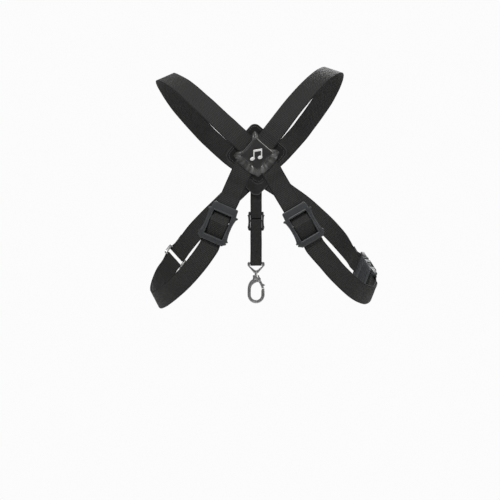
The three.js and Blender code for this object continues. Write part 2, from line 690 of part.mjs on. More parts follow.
// The stretch of a front strap from its sewn loop to the chest piece.
function frontStrap(name, route, bar, radius, layer) {
  const end = route.length;
  const path = [...sewnLoop(bar, radius, WEB, 18, ON_BODY), [end - 40, ON_BODY], [end - 30, layer], [end, layer]];
  harness.add(piece(name, strapAlong(route, path, WEB), "webbing"));
}

// Left side: slide, ring and front strap.
const leftRoute = new Route(FLANK_LEFT);
const ringGroup = standOn(leftRoute, RING_AT, RING.bar / 2 + WEB.thick + GAP + 0.1);
ringGroup.add(piece("side_ring", ringGeometry(), "metal"));
const ringBarOffset = RING.halfLong - RING.bar / 2;
const ringBack = leftRoute.locate(inWorld(ringGroup, 0, -ringBarOffset, 0), RING_AT);
const ringFront = leftRoute.locate(inWorld(ringGroup, 0, ringBarOffset, 0), RING_AT);
const ringFar = { s: ringBack[0], v: ringBack[1], radius: RING.bar / 2 };
const leftPath = adjustedPath(PATCH_LEAD, SLIDE, SLIDE_LEFT_AT, ringFar, WEB);
harness.add(piece("adjusting_strap_left", strapAlong(leftRoute, leftPath, WEB), "webbing"));
addSlide("slide_left", leftRoute, SLIDE_LEFT_AT, SLIDE);
harness.add(ringGroup);
frontStrap("front_strap_left", leftRoute, ringFront, RING.bar / 2, CHEST_LAYER_2);

// Right side: slide, side-release buckle and front strap.
const rightRoute = new Route(FLANK_RIGHT);
const buckleGroup = standOn(rightRoute, BUCKLE_AT, BUCKLE_LIFT);
buckleGroup.add(piece("buckle_socket", buckleSocket(), "plastic"));
buckleGroup.add(piece("buckle_plug", bucklePlug(), "plastic"));
buckleGroup.add(piece("buckle_prong_upper", buckleProng(-1), "plastic"));
buckleGroup.add(piece("buckle_prong_lower", buckleProng(1), "plastic"));
const socketBar = rightRoute.locate(inWorld(buckleGroup, 0, SOCKET.barAt, 0), BUCKLE_AT + SOCKET.barAt);
const plugBar = rightRoute.locate(inWorld(buckleGroup, 0, PLUG.barAt, 0), BUCKLE_AT + PLUG.barAt);
const buckleFar = { s: socketBar[0], v: socketBar[1], radius: BUCKLE_BAR_R };
const rightPath = adjustedPath(PATCH_LEAD, SLIDE, SLIDE_RIGHT_AT, buckleFar, WEB);
harness.add(piece("adjusting_strap_right", strapAlong(rightRoute, rightPath, WEB), "webbing"));
addSlide("slide_right", rightRoute, SLIDE_RIGHT_AT, SLIDE);
harness.add(buckleGroup);
frontStrap("front_strap_right", rightRoute, plugBar, BUCKLE_BAR_R, CHEST_LAYER_1);

// Chest piece: two layers of leather with the strap ends between them.
const chestGroup = new THREE.Group();
chestGroup.position.set(...CHEST.at);
chestGroup.rotation.x = -Math.PI / 2;
chestGroup.add(piece("chest_inner", chestLayer(0), "leather"));
chestGroup.add(piece("chest_outer", chestLayer(CHEST_OUTER_AT), "leather"));
harness.add(chestGroup);

// Hanger strap, its slide and the hook.
const [hangX, hangY, hangZ] = HANGER.at;
const hangerRoute = new Route([0, 1, 2, 3].map((k) => [hangX, hangY, hangZ - (k * HANGER.length) / 3, 0, 1, 0]));
const hangerLift = CHEST_LAYER_3 - TAPE.thick / 2;
const eyeGroup = new THREE.Group();
eyeGroup.position.set(hangX, hangY + SMALL_SLIDE.barHeight + hangerLift - 1.5, hangZ - EYE.at);
const eyeFar = { s: EYE.at, v: SMALL_SLIDE.barHeight - 1.5, radius: EYE.wire * 1.2 };
const hangerLead = [[0, TAPE.thick / 2], [44, TAPE.thick / 2]];
const hangerPath = adjustedPath(hangerLead, SMALL_SLIDE, SMALL_SLIDE_AT, eyeFar, TAPE);
const raisedPath = hangerPath.map(([s, v]) => [s, v + hangerLift]);
harness.add(piece("hanger_strap", strapAlong(hangerRoute, raisedPath, TAPE), "webbing"));
const smallSlideGroup = standOn(hangerRoute, SMALL_SLIDE_AT + SMALL_SLIDE.length / 2, hangerLift);
smallSlideGroup.add(piece("hanger_slide", slideAdjuster(SMALL_SLIDE), "plastic"));
harness.add(smallSlideGroup);
eyeGroup.add(piece("hook_eye", eyeGeometry(), "metal"));
const hookGroup = new THREE.Group();
hookGroup.position.z = -EYE.high - EYE.wire - EYE.postLong + 4.2;
hookGroup.add(piece("hook_body", hookGeometry(), "metal"));
hookGroup.add(piece("hook_gate", gateGeometry(), "metal"));
hookGroup.add(piece("gate_pin", pinRod(GATE.pinR, GATE.pinLong), "metal"));
eyeGroup.add(hookGroup);
harness.add(eyeGroup);

export default harness;
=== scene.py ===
# Shoulder harness for a saxophone: black webbing, leather patches, plastic slides and buckle, snap hook.
import math

import bmesh
import bpy
import numpy as np
from mathutils import Matrix, Vector, noise


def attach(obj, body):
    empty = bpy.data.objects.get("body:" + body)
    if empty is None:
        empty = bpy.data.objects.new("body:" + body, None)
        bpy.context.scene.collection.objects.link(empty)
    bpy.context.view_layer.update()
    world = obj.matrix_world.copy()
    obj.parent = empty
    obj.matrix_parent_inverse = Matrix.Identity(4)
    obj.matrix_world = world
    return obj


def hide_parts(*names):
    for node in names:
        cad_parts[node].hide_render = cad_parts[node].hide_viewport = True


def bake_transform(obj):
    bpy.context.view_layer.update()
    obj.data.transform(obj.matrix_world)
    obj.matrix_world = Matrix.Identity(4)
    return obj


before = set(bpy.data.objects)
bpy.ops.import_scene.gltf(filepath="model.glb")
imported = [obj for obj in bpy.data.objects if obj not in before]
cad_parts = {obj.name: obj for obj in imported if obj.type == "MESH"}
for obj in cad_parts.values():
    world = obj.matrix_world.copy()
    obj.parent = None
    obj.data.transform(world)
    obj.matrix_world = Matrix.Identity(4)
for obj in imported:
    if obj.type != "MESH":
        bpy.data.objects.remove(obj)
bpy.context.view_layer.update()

# All shapes are worked out in millimetres, in the frame's own axes: +Z up, -Y the wearer's back.
MM = 0.001

# ---- driving dimensions

# Webbing, the hanger's narrow tape, and the gap between a strap and what it passes.
WEB = {"width": 25, "thick": 1.4}
TAPE = {"width": 15, "thick": 1.2}
GAP = 0.35
# How far used webbing waves up and down, and from side to side.
RIPPLE = 0.13
SWAY = 0.25

PATCH = {
    "at": (0, -78, -97), "half": 28.5, "corner": 8, "thick": 1.6, "turn": 49, "seam_inside": 2.9,
    "seam_corner": 6,
}
CENTRE = {"half": 14.8, "corner": 1.1, "top": 7.0, "thick": 1.5}
COVER = {"tongue_half": 5.6, "tongue_reach": 7.4, "band_reach": 8.4, "hem": 1.2}
CHEST = {"at": (0, 98, -113), "half": 23, "corner": 8, "thick": 1.4, "outer": 8.2, "sink": 3.4}
# The groove that stitches lie in, and its distance from the leather's edge.
SEAM = {"inside": 2.15, "sunk": 0.28}
SEAM_STITCH = {"pitch": 2.6, "long": 1.9, "radius": 0.24}
BOX_STITCH = {"pitch": 2.4, "long": 1.8, "radius": 0.26}
NOTE = {
    "wide": 9.4, "high": 10.8, "rise": 1.8, "head": (3.0, 2.1), "tilt": 0.35, "stem": 1.3, "beam": 2.6,
    "thick": 0.7, "head_more": 0.12, "beam_more": 0.08, "stem_end": 0.9,
}

# Heights of a strap's middle above the body: on the body, on the patch's border, in the patch and in the
# chest piece.
ON_BODY = 0.75
ON_BORDER = 2.7
BACK_LAYERS = {"left": 2.7, "right": 4.4}
CHEST_LAYERS = {"shoulder_left": 2.5, "shoulder_right": 4.25, "front_left": 4.25, "front_right": 2.5}

SLIDE = {
    "length": 48.5, "end_half": 16, "ear_half": 19.75, "waist_half": 16.6, "ear_at": 11.1, "ear_end": 41,
    "top_bar": 11, "bottom_bar": 7.4, "rail_half": 11.8, "under": 3.75, "thick": 4,
    "bar_at": 23.5, "bar_r": 1.6, "bar_height": 4.3, "bevel": 1.2, "lip": 1.0,
}
SMALL_SLIDE = {
    "length": 25, "end_half": 10, "ear_half": 11.4, "waist_half": 10.2, "ear_at": 5, "ear_end": 20,
    "top_bar": 4.5, "bottom_bar": 4, "rail_half": 7.7, "under": 3.1, "thick": 2.6,
    "bar_at": 12, "bar_r": 1.1, "bar_height": 3.5, "bevel": 0.7, "lip": 0.5,
}
# How far along its strap each slide begins.
SLIDE_LEFT_AT = 58.4
SLIDE_RIGHT_AT = 69.3
SMALL_SLIDE_AT = 58
# For each strap through a slide: a length along its lead, and a length of its run.
SIDE_BENDS = (18, 90)
HANGER_BENDS = (43, 30)
# How far from its bar a front strap's flap is sewn down.
FLAP = 22

RING = {"at": 336.8, "lift": 3.45, "half_long": 7.6, "bar": 3.2}
BUCKLE = {"at": 302.8, "lift": 5.8, "socket_bar": -25, "plug_bar": 21, "bar_r": 1.7}
# On the socket's faces a raised panel; on the plug's faces rows of ridges, placed along the strap.
PANEL = {"half": (12.2, 8.6), "along": -6, "face": 5, "squareness": 0.45}
RIDGES = {"along": (9.3, 10.6, 11.9, 13.2), "half_wide": 11.5, "face": 4.55, "girth": 0.42}
# The hanger's sewn top, a stretch of it given by two lengths, and the eye's bar: place, height and radius.
HANGER = {
    "at": (0, 98, -106), "length": 170, "lift": 5.35, "top": 45, "bend": (32, 43),
    "eye": (126, 2.0, 1.92),
}
# The hook: its origin, the gate's pivot from there, the arc of the nose about that pivot, and its root.
HOOK = {
    "at": (0, 105.35, -247.9), "pivot": (4.6, -7.4),
    "nose_r": 11.5, "nose_arc": (15.6, 33), "nose_thick": 4.7,
    "nose_root": ((11, -18.6), (11.05, -20.6), (7.25, -20.2), (7.4, -19.2)),
}

# Camera, in metres: level, behind the wearer's back.
CAMERA = {"at": (-0.008, -2.378, -0.2146), "lens": 135.2}
# The floor's height, and the radii of its rings.
FLOOR_Z = -900
FLOOR_RINGS = (10, 500, 1200, 2200)

# Strength of the surrounding light from below and from above, and of the plain backdrop.
LIGHT = {"low": 0.1, "high": 0.62, "backdrop": 0.97, "aim": (0, 0, -0.15)}
# Where each lamp stands and its size, in metres, and its power.
LAMPS = {
    "key": ((-0.9, -1.6, 1.9), 0.8, 60),
    "fill": ((1.8, -1.5, 0.4), 1.2, 14),
    "front": ((0.7, 1.9, 1.5), 0.9, 40),
}

# Routes over the wearer's body: each station is a point on the body and the body's outward normal there.
FLANK_LEFT = [
    (-12.8, -78, -106.6, 0, -1, 0),
    (-22.9, -78, -129.6, 0, -1, 0),
    (-36.3, -77.4, -160, -0.06, -1, 0),
    (-46, -76.9, -182.2, -0.06, -1, 0),
    (-55.7, -76.4, -204.4, -0.06, -1, 0),
    (-59.2, -76.2, -212.4, -0.1, -1, -0.02),
    (-71.5, -71, -230, -0.3, -0.93, -0.12),
    (-88, -61, -249, -0.46, -0.85, -0.22),
    (-108, -43, -267, -0.66, -0.65, -0.36),
    (-123, -14, -276, -0.83, -0.22, -0.48),
    (-127, 18, -269, -0.9, 0.2, -0.36),
    (-121, 44, -250, -0.76, 0.6, -0.2),
    (-113, 55.6, -237.4, -0.62, 0.77, -0.07),
    (-108, 60.3, -230.2, -0.62, 0.77, -0.07),
    (-103, 65, -223, -0.62, 0.77, -0.07),
    (-98, 69.7, -215.8, -0.62, 0.77, -0.07),
    (-93, 74.4, -208.6, -0.62, 0.77, -0.07),
    (-78, 84.5, -189, -0.4, 0.9, -0.06),
    (-60, 92.5, -170, -0.22, 0.97, -0.03),
    (-42, 97.2, -152.5, -0.06, 1, 0),
    (-34, 98, -144.5, 0, 1, 0),
    (-6, 98, -118, 0, 1, 0),
]
FLANK_RIGHT = [
    (9.3, -78, -102.9, 0, -1, 0),
    (24.9, -78, -129.6, 0, -1, 0),
    (43, -77.2, -160.6, 0.06, -1, 0),
    (55.6, -76.6, -182.2, 0.06, -1, 0),
    (68.3, -76, -204, 0.06, -1, 0),
    (72.6, -75.7, -211.4, 0.12, -1, -0.03),
    (86, -69.5, -227, 0.32, -0.92, -0.14),
    (101, -59.5, -244, 0.52, -0.8, -0.24),
    (121.5, -41, -262.5, 0.72, -0.56, -0.38),
    (138.5, -16, -270.5, 0.87, -0.14, -0.46),
    (146.6, 5.7, -266.5, 0.92, 0.3, -0.2),
    (142.4, 16.4, -258.7, 0.9, 0.41, -0.08),
    (138.2, 27.2, -250.8, 0.9, 0.41, -0.08),
    (134, 38, -243, 0.9, 0.41, -0.08),
    (129.8, 48.8, -235.2, 0.9, 0.41, -0.08),
    (125.6, 59.6, -227.3, 0.9, 0.41, -0.08),
    (121.4, 70.3, -219.5, 0.88, 0.45, -0.08),
    (107, 84, -199, 0.55, 0.82, -0.1),
    (86, 91.5, -176.5, 0.32, 0.94, -0.06),
    (62, 95.5, -155, 0.16, 0.98, -0.03),
    (42, 97.5, -140.5, 0.04, 1, 0),
    (34, 98, -134.5, 0, 1, 0),
    (8, 98, -118, 0, 1, 0),
]
SHOULDER_LEFT = [
    (-5, -78, -92.4, 0, -1, 0),
    (-24.5, -78, -74.5, 0, -1, 0),
    (-44.1, -73, -55.9, -0.05, -0.95, 0.3),
    (-67, -59, -33.8, -0.12, -0.84, 0.52),
    (-91, -37, -11.5, -0.26, -0.58, 0.77),
    (-108.5, -14, 0.5, -0.4, -0.22, 0.89),
    (-116, 9, 3.5, -0.42, 0.15, 0.89),
    (-111, 35, -8, -0.36, 0.54, 0.76),
    (-95.5, 59, -30, -0.24, 0.8, 0.55),
    (-68, 86.4, -60, -0.12, 0.93, 0.34),
    (-53.5, 93.7, -73.6, -0.06, 0.97, 0.18),
    (-40, 97.3, -85.6, -0.02, 0.99, 0.06),
    (-32, 98, -92.2, 0, 1, 0),
    (-10, 98, -108, 0, 1, 0),
]
SHOULDER_RIGHT = [
    (4, -78, -92, 0, -1, 0),
    (21.2, -78, -69.9, 0, -1, 0),
    (34.5, -72.5, -52.2, 0.04, -0.95, 0.3),
    (49.5, -60.5, -32.5, 0.1, -0.85, 0.52),
    (69, -40, -10, 0.2, -0.62, 0.76),
    (87, -18, 7, 0.31, -0.26, 0.91),
    (98.5, 6, 12.5, 0.36, 0.13, 0.92),
    (97.5, 33, 1.5, 0.3, 0.53, 0.79),
    (86, 57, -21, 0.2, 0.79, 0.58),
    (63.5, 85.3, -52.3, 0.1, 0.93, 0.36),
    (51, 93, -67.2, 0.06, 0.97, 0.18),
    (38, 97.2, -81.6, 0.02, 0.99, 0.06),
    (31, 98, -88.8, 0, 1, 0),
    (10, 98, -108, 0, 1, 0),
]


# ---- camera, light and floor


def placed(name, data, at, rotation=(0, 0, 0)):
    """An object of the scene: a camera, a lamp or a mesh."""
    made = bpy.data.objects.new(name, data)
    made.location = at
    made.rotation_euler = rotation
    bpy.context.scene.collection.objects.link(made)
    return made


def make_camera():
    data = bpy.data.cameras.new("camera")
    data.sensor_width = 36
    data.lens = CAMERA["lens"]
    bpy.context.scene.camera = placed("camera", data, CAMERA["at"], (math.pi / 2, 0, 0))


def area_light(name, at, size, power):
    data = bpy.data.lights.new(name, "AREA")
    data.size = size
    data.energy = power
    aim = Vector(LIGHT["aim"]) - Vector(at)
    placed(name, data, at, aim.to_track_quat("-Z", "Y").to_euler())


def make_light():
    world = bpy.data.worlds.new("studio")
    sky = Shader(world, "Background")
    up = sky.add("ShaderNodeSeparateXYZ", "Z", Vector=sky.add("ShaderNodeTexCoord", "Generated"))
    limits = {"From_Min": -0.5, "From_Max": 1.0, "To_Min": LIGHT["low"], "To_Max": LIGHT["high"]}
    around = sky.add("ShaderNodeMapRange", "Result", Value=up, **limits)
    seen = sky.add("ShaderNodeLightPath", "Is Camera Ray")
    strength = sky.add("ShaderNodeMix", "Result", Factor=seen, A=around, B=LIGHT["backdrop"])
    sky.set(Color=(1, 1, 1, 1), Strength=strength)
    bpy.context.scene.world = world
    bpy.context.scene.view_settings.view_transform = "Standard"
    for name, (at, size, power) in LAMPS.items():
        area_light(name, at, size, power)


# ---- materials


class Shader:
    """The shader of a material or of the world, and short ways to add the nodes that feed it."""

    def __init__(self, owner, kind="Principled BSDF"):
        owner.use_nodes = True
        self.owner = owner
        self.tree = owner.node_tree
        self.shader = self.tree.nodes[kind]

    def feed(self, socket, value):
        if isinstance(value, bpy.types.NodeSocket):
            self.tree.links.new(value, socket)
        elif value is not None:
            socket.default_value = value

    def add(self, kind, output, settings=(), **inputs):
        node = self.tree.nodes.new(kind)
        for key, value in settings:
            setattr(node, key, value)
        for key, value in inputs.items():
            self.feed(node.inputs[key.replace("_", " ")], value)
        return node.outputs[output]

    def math(self, operation, a, b=None):
        node = self.tree.nodes.new("ShaderNodeMath")
        node.operation = operation
        self.feed(node.inputs[0], a)
        self.feed(node.inputs[1], b)
        return node.outputs[0]

    def times(self, a, b):
        return self.math("MULTIPLY", a, b)

    def smooth(self, value, low, high):
        """A number from 0 to 1, as value goes from low to high."""
        soft = [("interpolation_type", "SMOOTHSTEP")]
        return self.add("ShaderNodeMapRange", "Result", soft, Value=value, From_Min=low, From_Max=high)

    def between(self, factor, low, high):
        """A number from low to high, as factor goes from 0 to 1."""
        return self.add("ShaderNodeMapRange", "Result", Value=factor, To_Min=low, To_Max=high)

    def blend(self, factor, a, b):
        node = self.tree.nodes.new("ShaderNodeMix")
        node.data_type = "RGBA"
        self.feed(node.inputs["Factor"], factor)
        for key, value in (("A", a), ("B", b)):
            socket = [s for s in node.inputs if s.name == key and s.type == "RGBA"][0]
            self.feed(socket, value)
        return [s for s in node.outputs if s.type == "RGBA"][0]

    def place(self):
        return self.add("ShaderNodeTexCoord", "Object")

    def noise(self, scale, detail=4.0):
        return self.add("ShaderNodeTexNoise", "Fac", Vector=self.place(), Scale=scale, Detail=detail)

    def attribute(self, name):
        return self.add("ShaderNodeAttribute", "Fac", settings=[("attribute_name", name)])

    def bump(self, height, distance, strength, under=None):
        return self.add(
            "ShaderNodeBump", "Normal", Height=height, Distance=distance, Strength=strength, Normal=under
        )

    def set(self, **inputs):
        for key, value in inputs.items():
            self.feed(self.shader.inputs[key.replace("_", " ")], value)
        return self.owner


def new_material(name):
    return Shader(bpy.data.materials.new(name))


def grey(value, warm=0.0):
    return (value * (1 + warm), value, value * (1 - warm), 1)


def webbing_material(name, half_width, pitch):
    """Woven polyester: rows of small raised yarns set like bricks, their crowns painted paler as a painted
    sheen, and plain darker selvedges.
    """
    m = new_material(name)
    across = m.add("ShaderNodeSeparateXYZ", "X", Vector=m.add("ShaderNodeUVMap", "UV"))
    along = m.add("ShaderNodeSeparateXYZ", "Y", Vector=m.add("ShaderNodeUVMap", "UV"))
    row = m.math("DIVIDE", along, pitch * 1.05 * MM)
    shift = m.math("FRACT", m.times(m.math("FLOOR", row), 0.5))
    column = m.math("ADD", m.math("DIVIDE", across, pitch * MM), shift)
    bead = m.math("ABSOLUTE", m.math("SINE", m.times(column, math.pi)))
    rib = m.math("ABSOLUTE", m.math("SINE", m.times(row, math.pi)))
    selvedge = m.smooth(m.math("ABSOLUTE", across), (half_width - 1.9) * MM, (half_width - 0.5) * MM)
    inner = m.math("SUBTRACT", 1.0, selvedge)
    weave = m.times(m.times(bead, rib), inner)
    wear = m.noise(45, 5)
    # The yarn crowns are painted paler and varied at random: a painted sheen.
    painted_sheen = m.times(weave, m.between(wear, 0.35, 1.3))
    body = m.blend(painted_sheen, grey(0.0015, 0.03), grey(0.032, 0.05))
    colour = m.blend(m.times(selvedge, 0.8), body, grey(0.003))
    yarn = m.bump(m.noise(2600, 2), 0.05 * MM, 0.5)
    relief = m.bump(weave, 0.4 * MM, 0.9, under=yarn)
    m.set(Sheen_Weight=0.04, Sheen_Roughness=0.4, Specular_IOR_Level=0.28)
    return m.set(Base_Color=colour, Roughness=m.between(wear, 0.55, 0.75), Normal=relief)


def leather_material(name, dark, pale, low, high, coat, shine):
    """Smooth black leather: fine pebbled grain, soft blotches, and paler where the mesh marks it: edges
    rubbed a little, and painted highlights on fold crests and along one side of the centre plate's edge.
    """
    m = new_material(name)
    cells = m.add("ShaderNodeTexVoronoi", "Distance", Vector=m.place(), Scale=780.0)
    grain = m.math("ADD", cells, m.times(m.noise(1900), 0.5))
    blotch = m.noise(60, 5)
    wear_and_highlight = m.times(m.attribute("wear_and_highlight"), m.between(m.noise(220), 0.3, 1.0))
    skin = m.blend(blotch, grey(dark), grey(pale, 0.03))
    colour = m.blend(wear_and_highlight, skin, grey(0.42, 0.03))
    creases = m.bump(m.noise(150, 6), 0.4 * MM, 0.4)
    relief = m.bump(grain, 0.16 * MM, 0.45, under=creases)
    m.set(Coat_Weight=coat, Coat_Roughness=0.22, Specular_IOR_Level=shine)
    return m.set(Base_Color=colour, Roughness=m.between(blotch, low, high), Normal=relief)


def plastic_material():
    """Moulded acetal: a fine spark-eroded texture, softly shining, with edges polished by use."""
    m = new_material("plastic")
    cloud = m.noise(90, 4)
    wear_and_highlight = m.times(m.attribute("wear_and_highlight"), m.between(m.noise(400), 0.25, 1.0))
    base = m.blend(cloud, (0.011, 0.012, 0.0135, 1), (0.019, 0.0205, 0.0225, 1))
    colour = m.blend(m.times(wear_and_highlight, 0.5), base, (0.06, 0.063, 0.068, 1))
    relief = m.bump(m.noise(2300, 3), 0.06 * MM, 0.5)
    return m.set(Base_Color=colour, Roughness=m.between(cloud, 0.42, 0.58), Normal=relief)


def metal_material(name, base, low, high, metallic=1.0):
    """Plated metal: satin, with fine rubbed scratches and edges that are a little brighter."""
    m = new_material(name)
    stretched = m.add("ShaderNodeMapping", "Vector", Vector=m.place(), Scale=(2200.0, 2200.0, 160.0))
    scratches = m.add("ShaderNodeTexNoise", "Fac", Vector=stretched, Scale=1.0, Detail=3.0)
    tarnish = m.noise(140, 5)
    colour = m.blend(tarnish, grey(base * 0.72, 0.02), grey(base, 0.01))
    bright = m.blend(m.times(m.attribute("wear_and_highlight"), 0.5), colour, grey(min(base * 1.4, 0.95)))
    relief = m.bump(scratches, 0.03 * MM, 0.35)
    rough = m.between(tarnish, low, high)
    return m.set(Base_Color=bright, Metallic=metallic, Roughness=rough, Normal=relief)


def thread_material():
    m = new_material("thread")
    twist = m.noise(1500, 2)
    colour = m.blend(twist, grey(0.03), grey(0.08, 0.03))
    return m.set(Base_Color=colour, Roughness=0.6, Normal=m.bump(twist, 0.1 * MM, 0.6), Sheen_Weight=0.2)


def floor_material():
    m = new_material("floor")
    colour = m.blend(m.noise(3, 3), grey(0.8), grey(0.84))
    return m.set(Base_Color=colour, Roughness=0.8)


# ---- meshes


def piece(name, skin, look, body=None, stands_for=(), place=None, uv=None, wear_and_highlight=None, sharp=40):
    """A mesh of (points, faces) in millimetres, moved to its place, smooth except at sharp corners. It can
    carry a place in the weave (uv) and a share of wear and painted highlight for each point."""
    points, faces = skin
    if place is not None:
        points = moved(points, place)
    mesh = bpy.data.meshes.new(name)
    mesh.from_pydata((np.asarray(points, float) * MM).tolist(), [], faces)
    shape = bmesh.new()
    shape.from_mesh(mesh)
    bmesh.ops.recalc_face_normals(shape, faces=shape.faces)
    shape.to_mesh(mesh)
    shape.free()
    if uv is not None:
        layer = mesh.uv_layers.new(name="UVMap")
        index = np.zeros(len(mesh.loops), int)
        mesh.loops.foreach_get("vertex_index", index)
        layer.data.foreach_set("uv", (np.asarray(uv) * MM)[index].astype(np.float32).ravel())
    return finished(name, mesh, look, body, stands_for, wear_and_highlight, sharp)


def finished(name, mesh, look, body, stands_for, wear_and_highlight, sharp):
    """The object of a mesh: its wear and painted highlight, its material, the body it rides and the CAD
    nodes it replaces.
    """
    if wear_and_highlight is not None:
        attribute = mesh.attributes.new("wear_and_highlight", "FLOAT", "POINT")
        attribute.data.foreach_set("value", np.full(len(mesh.vertices), wear_and_highlight, np.float32))
    material, slot = look
    mesh.materials.append(material)
    mesh.shade_smooth()
    mesh.set_sharp_from_angle(angle=math.radians(sharp))
    made = placed(name, mesh, (0, 0, 0))
    if body:
        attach(made, body)
    if stands_for:
        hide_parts(*stands_for)
    return made


def full_turn(steps):
    return np.linspace(0, 2 * math.pi, steps, endpoint=False)


def lifted(flat, height):
    """Points of a plane, at a height above it."""
    return np.column_stack([flat, np.full(len(flat), height)])


def loft(loops, wrap=False, caps=True):
    """Vertices and faces of a skin over closed loops that have the same number of points."""
    loops = np.asarray(loops, float)
    count, size = loops.shape[:2]
    faces = []
    for i in range(count if wrap else count - 1):
        a = i * size
        b = ((i + 1) % count) * size
        for j in range(size):
            k = (j + 1) % size
            faces.append((a + j, a + k, b + k, b + j))
    if caps and not wrap:
        faces.append(tuple(range(size)))
        faces.append(tuple(range((count - 1) * size, count * size)))
    return loops.reshape(-1, 3), faces


def rod(along, girths, y, z, arc, squash=1.0):
    """A bar along X with its girth at each place, and the given arc of a circle for its section."""
    rings = []
    for x, r in zip(along, girths):
        section = y + r * np.cos(arc), z + squash * r * np.sin(arc)
        rings.append(np.column_stack([np.full(len(arc), x), *section]))
    return loft(rings)


def moved(points, place):
    points = np.asarray(points, float)
    matrix = np.array(place)
    return points @ matrix[:3, :3].T + matrix[:3, 3]


def joined(parts):
    """Several (vertices, faces) in one."""
    vertices, faces, start = [], [], 0
    for points, polygons in parts:
        vertices.append(points)
        faces += [tuple(start + i for i in f) for f in polygons]
        start += len(points)
    return np.concatenate(vertices), faces


def refined(node, look, body, width, steps=2):
    """A CAD node's own shape with its edges rounded, as a mould or a plating bath leaves them."""
    shape = bmesh.new()
    shape.from_mesh(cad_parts[node].data)
    bmesh.ops.remove_doubles(shape, verts=shape.verts, dist=0.002 * MM)
    flat = math.radians(1.5)
    bmesh.ops.dissolve_limit(shape, angle_limit=flat, verts=shape.verts, edges=shape.edges)
    corner = math.radians(32)
    edges = [e for e in shape.edges if len(e.link_faces) == 2 and e.calc_face_angle(0) > corner]
    how = {"segments": steps, "profile": 0.5, "affect": "EDGES", "clamp_overlap": True}
    rounded = bmesh.ops.bevel(shape, geom=edges, offset=width * MM, **how)
    shape.verts.index_update()
    touched = {v.index for f in rounded["faces"] if f.is_valid for v in f.verts}
    mesh = bpy.data.meshes.new(node)
    shape.to_mesh(mesh)
    shape.free()
    wear_and_highlight = np.zeros(len(mesh.vertices))
    wear_and_highlight[list(touched)] = 1
    return finished(node + "_finished", mesh, look, body, [node], wear_and_highlight, sharp=40)


# ---- routes and straps


def catmull_rom(points, t):
    """Points at t, from 0 to 1, on a smooth line through the given points."""
    p = np.asarray(points, float)
    padded = np.vstack([2 * p[0] - p[1], p, 2 * p[-1] - p[-2]])
    place = np.clip(np.asarray(t), 0, 1) * (len(p) - 1)
    i = np.minimum(place.astype(int), len(p) - 2)
    f = (place - i)[:, None]
    before, a, b, after = (padded[i + k] for k in range(4))
    start, end = 0.5 * (b - before), 0.5 * (after - a)
    return a + start * f + (3 * (b - a) - 2 * start - end) * f**2 + (2 * (a - b) + start + end) * f**3


def unit(vectors):
    return vectors / np.linalg.norm(vectors, axis=-1, keepdims=True)


def run_along(points):
    """The length of a line of points, up to each of them."""
    return np.concatenate([[0], np.cumsum(np.linalg.norm(np.diff(points, axis=0), axis=1))])


class Route:
    """A smooth line over the body, measured by its length, with the body's normal along it."""

    SAMPLES = 1201

    def __init__(self, stations):
        table = np.asarray(stations, float)
        self.points = table[:, :3]
        self.normals = unit(table[:, 3:])
        self.t = np.linspace(0, 1, self.SAMPLES)
        self.lengths = run_along(catmull_rom(self.points, self.t))
        self.length = self.lengths[-1]

    def at(self, lengths):
        """Position, tangent, normal and side at each length."""
        t = np.interp(lengths, self.lengths, self.t)
        position = catmull_rom(self.points, t)
        tangent = unit(catmull_rom(self.points, t + 5e-4) - catmull_rom(self.points, t - 5e-4))
        normal = catmull_rom(self.normals, t)
        normal = unit(normal - tangent * (normal * tangent).sum(1, keepdims=True))
        return position, tangent, normal, np.cross(tangent, normal)

    def stand(self, length, height):
        """The place of something rigid: X across the strap, Y along it, Z away from the body."""
        position, tangent, normal, side = (v[0] for v in self.at(np.array([length])))
        place = np.eye(4)
        place[:3, 0], place[:3, 1], place[:3, 2] = side, tangent, normal
        place[:3, 3] = position + normal * height
        return place

    def locate(self, point, guess):
        """A point's length along the route and its height above it."""
        length = guess
        for _ in range(40):
            position, tangent, normal, _side = (v[0] for v in self.at(np.array([length])))
            length += (point - position) @ tangent
        return length, (point - position) @ normal

    def spot(self, length, height, across=0.0):
        return moved([(across, 0, 0)], self.stand(length, height))[0]


def round_bar(bar, radius, start, end, clockwise=True):
    """The part of a path that bends round a bar, between straight stretches from start and to end."""
    sign = 1 if clockwise else -1

    def touch(point, way):
        run, rise = point[0] - bar[0], point[1] - bar[1]
        return math.atan2(rise, run) + way * math.acos(radius / math.hypot(run, rise))

    first = touch(start, -sign)
    sweep = (sign * (first - touch(end, sign))) % (2 * math.pi)
    steps = max(3, math.ceil(math.degrees(sweep) / 8))
    angles = first - sign * sweep * np.arange(steps + 1) / steps
    return [(bar[0] + radius * math.cos(a), bar[1] + radius * math.sin(a)) for a in angles]


def softened(path, step=2.6, rounds=2):
    """A path of (length, height) in short steps, with its corners rounded off."""
    out = [np.array(path[0], float)]
    for a, b in zip(path[:-1], path[1:]):
        a, b = np.array(a, float), np.array(b, float)
        parts = max(1, math.ceil(np.linalg.norm(b - a) / step))
        out += [a + (b - a) * k / parts for k in range(1, parts + 1)]
    points = np.array(out)
    for _ in range(rounds):
        near = points[:-1] * 0.75 + points[1:] * 0.25
        far = points[:-1] * 0.25 + points[1:] * 0.75
        middle = np.stack([near, far], 1).reshape(-1, 2)
        points = np.vstack([points[:1], middle[1:-1], points[-1:]])
    return points


def strap_section(web):
    """Half-round selvedges and flat faces: (across, up) round the strap."""
    radius = web["thick"] / 2
    reach = web["width"] / 2 - radius
    flat = np.linspace(-reach, reach, 13)
    turn = np.radians([60, 30, 0, -30, -60])
    top = [(x, radius) for x in flat]
    right = [(reach + radius * math.cos(a), radius * math.sin(a)) for a in turn]
    bottom = [(x, -radius) for x in flat[::-1]]
    left = [(-x, -z) for x, z in right]
    return np.array(top + right + bottom + left)


